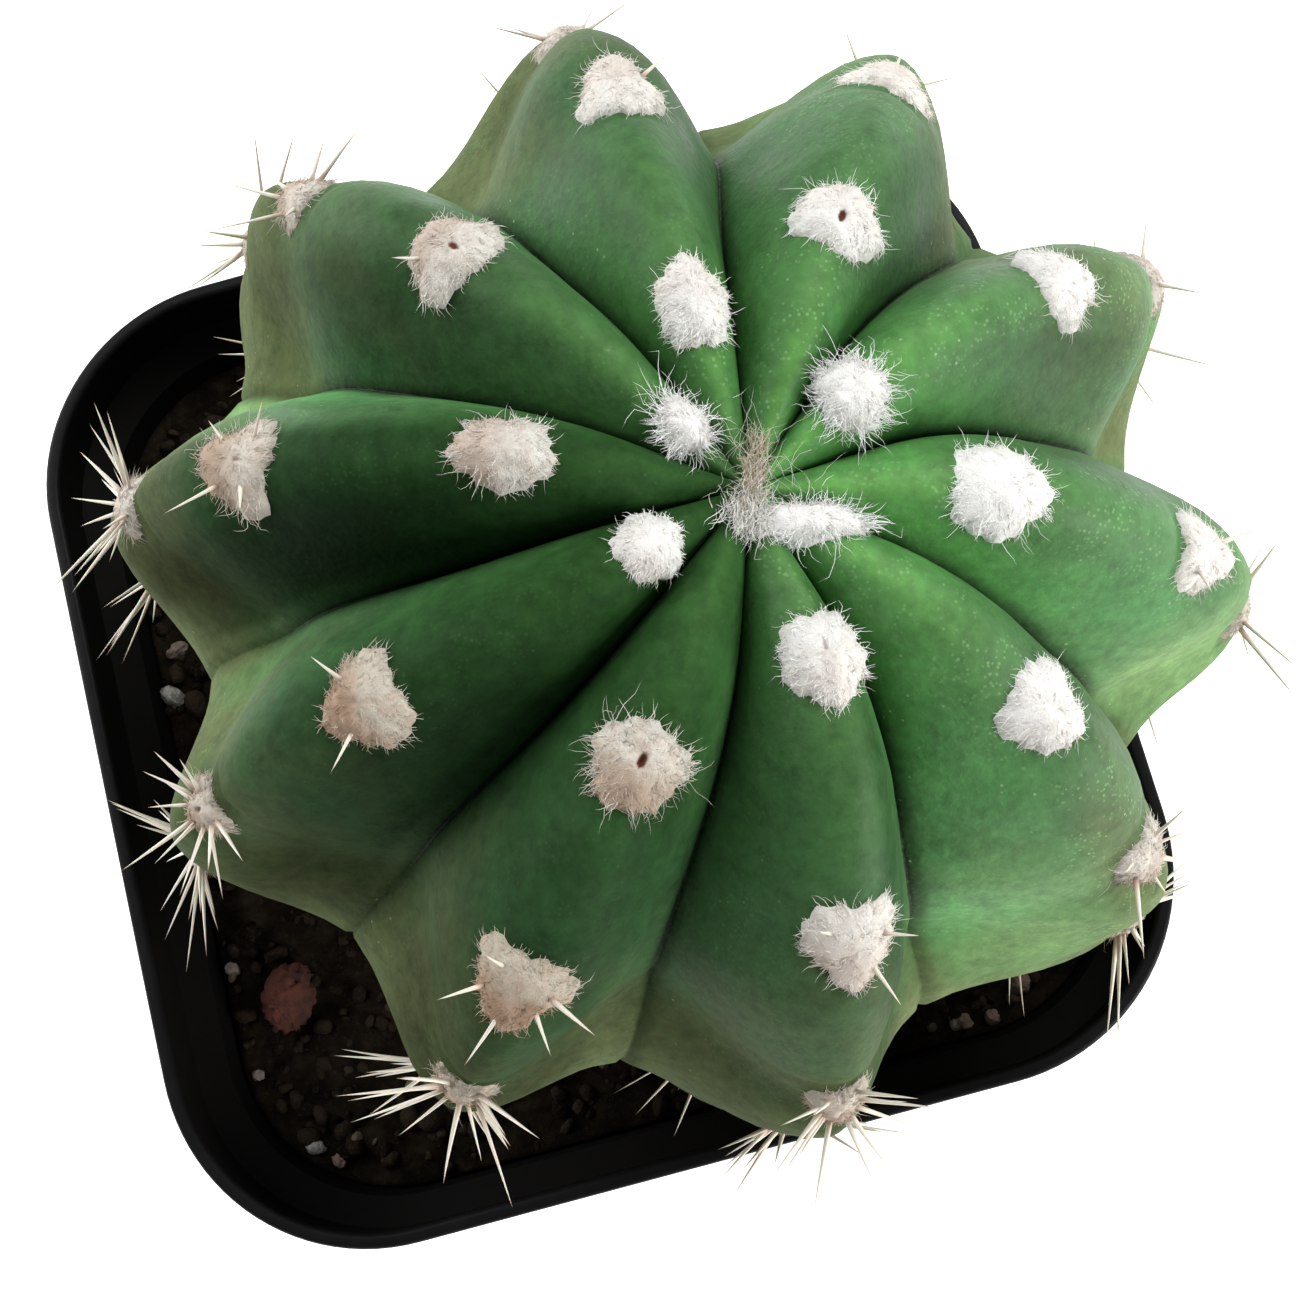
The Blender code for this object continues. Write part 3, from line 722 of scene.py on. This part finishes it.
def build_apex_wool():
    """A matted strand of tan wool over the growing point, white at its foot, and a thin cobweb."""
    draw = seeded("strand")
    right, away, up = stem_axes()
    total = STRAND_HAIRS + COBWEB_HAIRS
    apex = np.array(STEM_CENTRE) + up * (CREST_HEIGHT - DIMPLE_DEPTH)
    matted = np.arange(total) < STRAND_HAIRS
    towards_foot = 1.0 - 2.0 * draw.uniform(0.0, 1.0, total) ** 1.5
    place = np.where(matted, towards_foot, draw.uniform(-1.2, 0.6, total))
    spread = np.where(matted, 0.27 + 0.50 * ease(0.1, 0.8, place), 1.4)
    beside = draw.normal(0.0, 1.0, total) * spread
    strand = unit(-away * math.cos(STRAND_TURN) - right * math.sin(STRAND_TURN))
    beyond = np.cross(strand, up)
    roots = apex + strand * (place * STRAND_REACH)[:, None] + beyond * (beside * MM)[:, None]
    rise = draw.uniform(0.2, 1.4, total) * (1.0 - 0.3 * place ** 2) + np.where(matted, 0.0, 0.5)
    roots = roots + up * (rise * MM)[:, None]
    heading = unit(strand * draw.choice((-1.0, 1.0), (total, 1))
                   + beyond * (draw.normal(0.0, 1.0, total) * np.where(matted, 0.35, 0.9))[:, None])
    length = np.where(matted, draw.uniform(0.8, 1.9, total), draw.uniform(1.8, 4.2, total)) * MM
    lift = draw.uniform(-0.1, 0.2, total)
    made = wool_paths(draw, roots, heading, up, length, 0.34, lift, points=6)
    width = np.where(matted, draw.uniform(0.024, 0.044, total), 0.015)
    radii = width[:, None] * MM * np.linspace(1.0, 0.4, 6)
    age = np.where(matted, 1.0 - ease(0.0, 0.50, place + draw.normal(0.0, 0.15, total)), 0.4)
    return tubes("apex_wool", made, radii, 3, {"age": age})


# Pot and soil

def rounded_square(width, corner, z):
    """Points of a square with round corners, anticlockwise from the corner at +X +Y."""
    straight = width / 2.0 - corner
    points = []
    for quarter, (sign_x, sign_y) in enumerate(CORNERS):
        for step in range(CORNER_STEPS + 1):
            angle = math.radians(90.0 * (quarter + step / CORNER_STEPS))
            points.append((sign_x * straight + corner * math.cos(angle),
                           sign_y * straight + corner * math.sin(angle), z))
        heading = math.radians(90.0 * (quarter + 2))
        last = points[-1]
        for step in range(1, SIDE_STEPS):
            run = 2.0 * straight * step / SIDE_STEPS
            points.append((last[0] + run * math.cos(heading), last[1] + run * math.sin(heading), z))
    return np.array(points)


def pot_section(z, inset):
    share = z / POT_HEIGHT
    width = BASE_WIDTH + (POT_WIDTH - 2.0 * LIP_OVERHANG - BASE_WIDTH) * share - 2.0 * inset
    corner = BASE_CORNER + (POT_CORNER - LIP_OVERHANG - BASE_CORNER) * share - inset
    return rounded_square(width, corner, z)


def lip_section(z, inset):
    return rounded_square(POT_WIDTH - 2.0 * inset, POT_CORNER - inset, z)


def build_pot():
    """The moulded shell: up the inner wall, over the round lip, down the collar and the outer wall."""
    low = POT_HEIGHT - LIP_HEIGHT
    rings = [pot_section(z, POT_WALL) for z in np.linspace(POT_FLOOR, low - 0.6 * MM, 14)]
    rings += [lip_section(z, POT_WALL) for z in np.linspace(low + 0.8 * MM, POT_HEIGHT - LIP_ROUND, 6)]
    inner = len(rings)
    for angles, wall, sign in (((15.0, 90.0, 6), POT_WALL, -1.0), ((90.0, 0.0, 7), 0.0, 1.0)):
        for angle in np.radians(np.linspace(*angles)):
            rings.append(lip_section(POT_HEIGHT - LIP_ROUND * (1.0 - math.sin(angle)),
                                     wall + sign * LIP_ROUND * (1.0 - math.cos(angle))))
    rings += [lip_section(z, 0.0) for z in np.linspace(POT_HEIGHT - 2.0 * MM, low + 0.4 * MM, 4)]
    rings.append(lip_section(low, 0.4 * MM))
    rings += [pot_section(z, 0.0) for z in np.linspace(low, FOOT_ROUND, 18)]
    for angle in np.radians(np.linspace(20.0, 90.0, 5)):
        rings.append(rounded_square(BASE_WIDTH - 2.0 * FOOT_ROUND * (1.0 - math.cos(angle)),
                                    BASE_CORNER - FOOT_ROUND * (1.0 - math.cos(angle)),
                                    FOOT_ROUND * (1.0 - math.sin(angle))))
    inside = np.repeat(np.arange(len(rings)) < inner, len(rings[0]))
    pot = add_rings("pot_shell", rings, [0, 0, POT_FLOOR], [0, 0, 0], {"inside": [*inside, 1.0, 0.0]})
    cut_drains(pot)
    pot.data.shade_smooth()
    pot.data.set_sharp_from_angle(angle=math.radians(35.0))
    return pot


def cut_drains(pot):
    bm = bmesh.new()
    for sign_x, sign_y in CORNERS:
        move = Matrix.Translation((sign_x * DRAIN_PLACE, sign_y * DRAIN_PLACE, 0.0))
        bmesh.ops.create_cone(bm, cap_ends=True, segments=40, radius1=DRAIN_RADIUS,
                              radius2=DRAIN_RADIUS, depth=4.0 * POT_FLOOR, matrix=move)
    mesh = bpy.data.meshes.new("drains")
    bm.to_mesh(mesh)
    bm.free()
    cutter = place_object("drains", mesh)
    pot.modifiers.new("drains", "BOOLEAN").object = cutter
    graph = bpy.context.evaluated_depsgraph_get()
    mesh = bpy.data.meshes.new_from_object(pot.evaluated_get(graph))
    pot.modifiers.clear()
    pot.data = mesh
    bpy.data.objects.remove(cutter, do_unlink=True)


def soil_height(x, y):
    wave = np.sin(x / (5.1 * MM) + 0.7) * np.cos(y / (6.3 * MM) - 1.1)
    ripple = np.sin((x + 1.7 * y) / (3.7 * MM) + 2.0)
    return SOIL_TOP + SOIL_RELIEF * (0.7 * wave + 0.25 * ripple)


def build_soil():
    """The bed of mix: its rough top, the hole for the root neck, its sides and its underside."""
    inset = POT_WALL + GAP
    outer = pot_section(SOIL_TOP, inset)
    count = len(outer)
    angles = math.radians(45.0) + 2.0 * math.pi * (np.arange(count) - CORNER_STEPS / 2.0) / count
    mouth = neck_ring(NECK_RADIUS + GAP, angles, SOIL_TOP)
    rings = [mouth - [0, 0, SOIL_TOP - NECK_BOTTOM + GAP], mouth - [0, 0, 1.5 * MM]]
    for ring in range(SOIL_RINGS + 1):
        share = ring / SOIL_RINGS
        flat = mouth + (outer - mouth) * share
        edge = min(1.0, 12.0 * min(share, 1.0 - share))
        height = soil_height(flat[:, 0], flat[:, 1])
        rough = np.array([noise.fractal(Vector(p) * 420.0, 0.7, 2.2, 4) for p in flat])
        flat[:, 2] = SOIL_TOP + edge * (height - SOIL_TOP + SOIL_ROUGH * rough)
        rings.append(flat)
    rings += [pot_section(z, inset) for z in (SOIL_TOP - 1.5 * MM, POT_HEIGHT * 0.5, POT_FLOOR + GAP)]
    return add_rings("soil_bed", rings, [NECK_CENTRE.x, NECK_CENTRE.y, NECK_BOTTOM - GAP],
                     [0, 0, POT_FLOOR + GAP])


def soil_spots(draw, count, margin):
    """Random places on the soil inside the pot's wall and outside the root neck."""
    reach = POT_WIDTH / 2.0 - 4.2 * MM - margin
    spots = []
    while len(spots) < count:
        x, y = draw.uniform(-reach, reach, 2)
        corner = math.hypot(max(0.0, abs(x) - SOIL_STRAIGHT), max(0.0, abs(y) - SOIL_STRAIGHT))
        from_neck = math.hypot(x - NECK_CENTRE.x, y - NECK_CENTRE.y)
        if corner > reach - SOIL_STRAIGHT or from_neck < NECK_RADIUS + margin:
            continue
        spots.append((x, y, float(soil_height(x, y))))
    return np.array(spots)


def build_grit():
    """Dark crumbs, pale perlite and grit, and one clay crumb, all half sunk in the mix."""
    draw = seeded("grit")
    spots = soil_spots(draw, CRUMBS, 0.8 * MM)
    sizes = draw.gamma(3.0, 0.16, CRUMBS) * MM + 0.15 * MM
    crumbs = grains("soil_crumbs", spots + sizes[:, None] * [0, 0, 0.1], sizes, draw, detail=2,
                    attributes={"tone": draw.uniform(0, 1, CRUMBS)})
    spots = soil_spots(draw, STRAY_PERLITE, 1.5 * MM)
    x, y, seen_sizes, seen_tones = np.array(PALE_BITS).T
    x, y = x * MM, y * MM
    spots = np.concatenate([spots, np.stack([x, y, soil_height(x, y)], 1)])
    sizes = np.concatenate([draw.uniform(0.35, 1.1, STRAY_PERLITE), seen_sizes]) * MM
    tones = np.concatenate([draw.uniform(0.4, 1, STRAY_PERLITE), seen_tones])
    perlite = grains("perlite", spots + sizes[:, None] * [0, 0, 0.25], sizes, draw, detail=3,
                     attributes={"tone": tones})
    x, y = CLAY_PLACE[0] * MM, CLAY_PLACE[1] * MM
    place = np.array([[x, y, float(soil_height(x, y)) + 0.5 * MM]])
    clay = grains("clay_crumb", place, [CLAY_SIZE], draw, detail=4)
    return crumbs, perlite, clay


# Materials

class Shader:
    """A surface material, its colour so far, and short calls that wire its nodes."""

    def __init__(self, name):
        self.material = bpy.data.materials.new(name)
        self.material.use_nodes = True
        self.tree = self.material.node_tree
        self.surface = self.tree.nodes["Principled BSDF"]
        self.coordinates = self.node("TexCoord", {}, "Object")
        self.relief = {}
        self.colour = None

    def link(self, source, target):
        if hasattr(source, "is_output"):
            self.tree.links.new(source, target)
        else:
            target.default_value = source

    def node(self, kind, inputs, output=0, **settings):
        """An output of a new node, with its inputs linked or set by their names or places."""
        made = self.tree.nodes.new("ShaderNode" + kind)
        for key, value in settings.items():
            setattr(made, key, value)
        for key, value in inputs.items():
            self.link(value, made.inputs[key])
        return made.outputs[output]

    def set(self, **values):
        for key, value in values.items():
            self.link(value, self.surface.inputs[key.replace("_", " ").title().replace("Ior", "IOR")])

    def finish(self, roughness, specular=0.5, usual_specular=0.5):
        """The material. Where specular is linked, usual_specular is the constant under the link."""
        self.set(specular_ior_level=usual_specular)
        self.set(base_color=self.colour, roughness=roughness, specular_ior_level=specular)
        return self.material

    def attribute(self, name):
        return self.node("Attribute", {}, "Fac", attribute_name=name)

    def noise(self, scale, detail=3.0, roughness=0.55, distortion=0.0):
        return self.node("TexNoise", {"Vector": self.coordinates, "Scale": scale, "Detail": detail,
                                      "Roughness": roughness, "Distortion": distortion}, "Fac")

    def cells(self, scale):
        return self.node("TexVoronoi", {"Vector": self.coordinates, "Scale": scale}, "Distance")

    def math(self, operation, first, second):
        return self.node("Math", {0: first, 1: second}, operation=operation)

    def plus(self, first, second):
        return self.math("ADD", first, second)

    def times(self, first, *others):
        for other in others:
            first = self.math("MULTIPLY", first, other)
        return first

    def ramp(self, value, low, high, out_low=0.0, out_high=1.0, smooth=True):
        return self.node("MapRange", {0: value, 1: low, 2: high, 3: out_low, 4: out_high},
                         interpolation_type="SMOOTHSTEP" if smooth else "LINEAR")

    def mix(self, share, first, second, blend="MIX"):
        first, second = (c if hasattr(c, "is_output") else (*c, 1.0) for c in (first, second))
        return self.node("Mix", {0: share, 6: first, 7: second}, 2, data_type="RGBA", blend_type=blend)

    def over(self, colour, *shares):
        """Lays a colour over the one so far, by the product of the shares."""
        self.colour = self.mix(self.times(*shares), self.colour, colour)

    def dim(self, factor):
        self.colour = self.mix(1.0, self.colour, factor, "MULTIPLY")

    def bump(self, height, strength, distance):
        """Relief, over the relief of the calls before."""
        inputs = {"Height": height, "Strength": strength, "Distance": distance, **self.relief}
        self.relief = {"Normal": self.node("Bump", inputs)}
        self.set(normal=self.relief["Normal"])


def skin_material():
    s = Shader("cactus_skin")
    along, across, tone = s.attribute("along"), s.attribute("across"), s.attribute("tone")
    broad, patch = s.noise(70.0, 3.0), s.noise(260.0, 4.0, 0.6)
    grain = s.noise(2600.0, 3.0, 0.7)
    wander = s.plus(patch, -0.5)
    lit = s.ramp(tone, 0.30, 0.85, 0.12, 1.0)
    freckled = s.ramp(tone, 0.60, 0.90, 0.06, 1.0)
    young = s.ramp(along, 0.05, 0.60, 1.0, 0.0)
    s.colour = s.mix(young, (0.050, 0.152, 0.050), (0.056, 0.186, 0.042))
    crest_green = s.mix(young, (0.088, 0.208, 0.086), (0.100, 0.276, 0.058))
    crest = s.ramp(s.plus(across, s.times(wander, 0.35)), 0.02, 0.50, 1.0, 0.0)
    s.over(crest_green, crest, s.ramp(tone, 0.3, 0.7, 0.25, 0.75))
    s.over((0.072, 0.128, 0.066), s.ramp(broad, 0.35, 0.75, 0.0, 0.35))
    low = s.ramp(s.plus(along, s.times(s.plus(broad, -0.5), 0.9)), 0.42, 0.88)
    s.over((0.126, 0.140, 0.062), low, s.ramp(tone, 0.95, 1.5, 0.92, 0.42))
    blotch = s.plus(wander, s.plus(s.noise(900.0, 3.0, 0.6), -0.5))
    # Painted light and shade: the skin colour is multiplied by the stem's tone, with random blotches
    s.dim(s.times(tone, s.plus(1.0, blotch)))
    # Painted shade darkening the bottoms of the valleys
    valley_shade = s.times(s.ramp(across, 0.90, 1.0), s.ramp(along, 0.60, 0.90, 0.70, 0.25))
    s.over((0.010, 0.024, 0.008), valley_shade, s.ramp(along, 0.05, 0.30, 0.4, 1.0))
    # Painted shade: a thin dark line along each valley's crease
    s.over((0.002, 0.005, 0.002), s.ramp(across, 0.965, 0.995), s.ramp(along, 0.55, 0.85, 0.85, 0.0))
    dots = s.times(s.ramp(s.cells(2500.0), 0.16, 0.38, 1.0, 0.0), s.ramp(s.noise(420.0, 2.0), 0.40, 0.60))
    s.over((0.220, 0.420, 0.170), dots, s.ramp(across, 0.15, 0.8, 1.0, 0.25), freckled, 0.62)
    # Skin grain with painted glints: lighter grain, strongest on the ribs with the most painted light
    s.over((0.090, 0.190, 0.070), s.ramp(grain, 0.35, 0.75, 0.0, 0.32), lit)
    specks = s.times(s.math("LESS_THAN", s.cells(840.0), 0.085), s.ramp(s.noise(130.0, 2.0), 0.46, 0.60))
    s.over((0.38, 0.48, 0.32), specks, freckled, 0.7)
    rough = s.plus(s.ramp(patch, 0.3, 0.7, 0.48, 0.62, False), s.times(low, 0.16))
    s.set(subsurface_weight=0.10, subsurface_radius=(0.6, 1.0, 0.4), subsurface_scale=0.0010)
    s.bump(grain, 0.5, 0.00008)
    s.bump(s.cells(1500.0), 0.45, 0.00006)
    return s.finish(rough, s.times(s.ramp(along, 0.35, 0.85, 0.22, 0.03), lit), usual_specular=0.10)


def felt_colour(s):
    """White wool when young, cream when old, rust on the lower part of a rusty pad, and painted shade
    that darkens the rusty pads.
    """
    age, low, tone = s.attribute("age"), s.attribute("low"), s.attribute("tone")
    rust = s.plus(s.ramp(low, -0.7, 0.8, 0.0, 0.9), s.times(s.noise(700.0, 3.0), 0.6))
    s.colour = s.mix(age, (0.93, 0.925, 0.905), (0.86, 0.82, 0.78))
    s.over((0.48, 0.30, 0.20), s.ramp(rust, 0.35, 1.1), s.ramp(tone, 0.0, 1.0, 0.04, 0.9, False))
    # Painted shade and rust: the pad darkens as its tone rises
    s.dim(s.mix(tone, (1.0, 1.0, 1.0), (0.62, 0.58, 0.50)))


def felt_material():
    s = Shader("areole_felt")
    felt_colour(s)
    lumps = s.noise(900.0, 4.0, 0.65)
    stained = s.ramp(s.attribute("tone"), 0.0, 1.0, 0.08, 0.65, False)
    s.over((0.50, 0.37, 0.28), s.ramp(lumps, 0.42, 0.66), stained)
    s.over((0.13, 0.035, 0.02), s.ramp(s.attribute("slit"), 0.15, 0.55))
    s.bump(s.noise(5200.0, 3.0, 0.7, 1.5), 0.9, 0.00012)
    s.bump(lumps, 0.6, 0.0003)
    return s.finish(0.95)


def fibre_material():
    s = Shader("areole_fibre")
    felt_colour(s)
    return s.finish(0.8, 0.25)


def wool_material(name, young, old):
    s = Shader(name)
    age = s.attribute("age")
    s.colour = s.mix(age, young, old)
    s.over((0.60, 0.48, 0.38), s.ramp(s.noise(1300.0), 0.50, 0.75, 0.0, 0.35), age)
    # Painted shade and rust: the wool darkens as its pad's tone rises
    s.dim(s.mix(s.attribute("tone"), (1.0, 1.0, 1.0), (0.66, 0.61, 0.52)))
    return s.finish(0.8, 0.25)


def spine_material():
    s = Shader("spine")
    share = s.attribute("length_share")
    s.colour = s.mix(s.ramp(share, 0.0, 0.30, 1.0, 0.0), (0.74, 0.70, 0.60), (0.52, 0.36, 0.28))
    s.over((0.56, 0.46, 0.34), s.ramp(share, 0.80, 1.0))
    s.over((0.80, 0.77, 0.68), s.ramp(s.noise(1400.0), 0.4, 0.7, 0.0, 0.4))
    s.set(subsurface_weight=0.2, subsurface_scale=0.0003)
    s.bump(s.noise(4000.0, 2.0), 0.4, 0.00003)
    return s.finish(0.42)


def plastic_material():
    s = Shader("black_plastic")
    inside, scuff = s.attribute("inside"), s.noise(160.0, 5.0, 0.65)
    s.colour = s.mix(s.ramp(scuff, 0.45, 0.75, 0.0, 0.5), (0.006, 0.006, 0.0065), (0.011, 0.0107, 0.0105))
    s.over((0.050, 0.046, 0.042), s.ramp(s.noise(1200.0, 3.0, 0.7), 0.66, 0.80, 0.0, 0.4))
    # Painted shade: the inner wall is darker than the outside
    s.over((0.006, 0.0056, 0.0050), inside, 0.8)
    rough = s.plus(s.ramp(scuff, 0.3, 0.75, 0.36, 0.54, False), s.times(inside, 0.2))
    s.bump(s.noise(900.0, 4.0), 0.25, 0.00008)
    return s.finish(rough, s.ramp(inside, 0.0, 1.0, 0.09, 0.03, False), usual_specular=0.07)


def mix_material():
    s = Shader("potting_mix")
    clods, fibres = s.noise(320.0, 5.0, 0.7), s.noise(2200.0, 4.0, 0.7)
    s.colour = s.mix(s.ramp(clods, 0.35, 0.8), (0.005, 0.0038, 0.0024), (0.026, 0.019, 0.012))
    s.over((0.070, 0.050, 0.034), s.ramp(fibres, 0.58, 0.82, 0.0, 0.6))
    s.bump(fibres, 0.8, 0.0003)
    return s.finish(0.95, 0.05)


def crumb_material():
    s = Shader("soil_crumb")
    tone = s.attribute("tone")
    pale = s.ramp(tone, 0.0, 0.9, 0.0, 1.0, False)
    s.colour = s.mix(pale, (0.005, 0.0038, 0.0024), (0.034, 0.024, 0.016))
    s.over((0.16, 0.125, 0.10), s.ramp(tone, 0.93, 0.99))
    s.over((0.060, 0.042, 0.030), s.ramp(s.noise(2500.0, 3.0), 0.5, 0.75, 0.0, 0.4))
    s.bump(s.noise(3000.0, 3.0), 0.9, 0.0003)
    return s.finish(0.92, 0.06)


def perlite_material():
    s = Shader("perlite")
    s.colour = s.mix(s.attribute("tone"), (0.42, 0.40, 0.38), (0.20, 0.125, 0.105))
    s.over((0.12, 0.09, 0.07), s.ramp(s.noise(1600.0, 4.0), 0.4, 0.7, 0.0, 0.7))
    s.bump(s.cells(2600.0), 0.8, 0.0002)
    return s.finish(0.95)


def clay_material():
    s = Shader("clay")
    s.colour = s.mix(s.ramp(s.noise(500.0, 4.0), 0.35, 0.7), (0.110, 0.030, 0.018), (0.040, 0.018, 0.012))
    s.bump(s.noise(1600.0, 4.0), 0.9, 0.0004)
    return s.finish(0.95)


def floor_material():
    s = Shader("floor")
    s.colour = s.mix(s.noise(6.0, 2.0), (0.90, 0.90, 0.885), (0.92, 0.92, 0.905))
    s.set(emission_color=(1.0, 1.0, 0.985, 1.0), emission_strength=FLOOR_GLOW)
    return s.finish(0.7)


# Stage

def build_floor():
    floor = add_object("floor", [(x * FLOOR_HALF, y * FLOOR_HALF, 0.0) for x, y in CORNERS], [range(4)])
    floor.location.z = -FLOOR_DROP
    return floor


def build_lights():
    world = bpy.data.worlds.new("sky")
    world.use_nodes = True
    sky = world.node_tree.nodes["Background"]
    sky.inputs["Color"].default_value = SKY_COLOUR
    sky.inputs["Strength"].default_value = SKY_STRENGTH
    bpy.context.scene.world = world
    for name, place, power, colour in LIGHTS:
        data = bpy.data.lights.new(name, "AREA")
        data.size = LIGHT_SIZE
        data.energy = power
        data.color = colour
        light = place_object(name, data)
        light.location = place
        light.rotation_euler = (Vector(LIGHT_AIM) - Vector(place)).to_track_quat("-Z", "Y").to_euler()


def build_camera():
    data = bpy.data.cameras.new("camera")
    data.sensor_width = SENSOR_WIDTH
    data.lens = FOCAL_PIXELS / PHOTO_WIDTH * SENSOR_WIDTH
    data.clip_start = 0.01
    camera = place_object("camera", data)
    forward = CAMERA_FORWARD.normalized()
    right = (CAMERA_RIGHT - forward * CAMERA_RIGHT.dot(forward)).normalized()
    up = right.cross(forward)
    turn = Matrix((right, up, -forward)).transposed()
    camera.matrix_world = Matrix.Translation(CAMERA_PLACE) @ turn.to_4x4()
    bpy.context.scene.camera = camera


def dress(piece, material, node):
    piece.data.materials.append(material)
    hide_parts(node)
    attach(piece, "root")


def main():
    build_camera()
    stem = build_stem()
    tree = surface_of(stem)
    sites = areole_sites(tree)
    dress(stem, skin_material(), "cactus")
    dress(build_pads(sites), felt_material(), "cactus")
    dress(build_felt(sites), fibre_material(), "cactus")
    fringe = wool_material("fringe", (0.95, 0.95, 0.94), (0.84, 0.79, 0.73))
    dress(build_fringe(sites), fringe, "cactus")
    strand = wool_material("tan_wool", (0.86, 0.85, 0.81), (0.50, 0.44, 0.33))
    dress(build_apex_wool(), strand, "cactus")
    dress(build_spines(sites), spine_material(), "cactus")
    dress(build_pot(), plastic_material(), "pot")
    dress(build_soil(), mix_material(), "soil")
    crumbs, perlite, clay = build_grit()
    dress(crumbs, crumb_material(), "soil")
    dress(perlite, perlite_material(), "soil")
    dress(clay, clay_material(), "soil")
    floor = build_floor()
    floor.data.materials.append(floor_material())
    build_lights()
    bpy.context.scene.view_settings.view_transform = "Standard"


main()
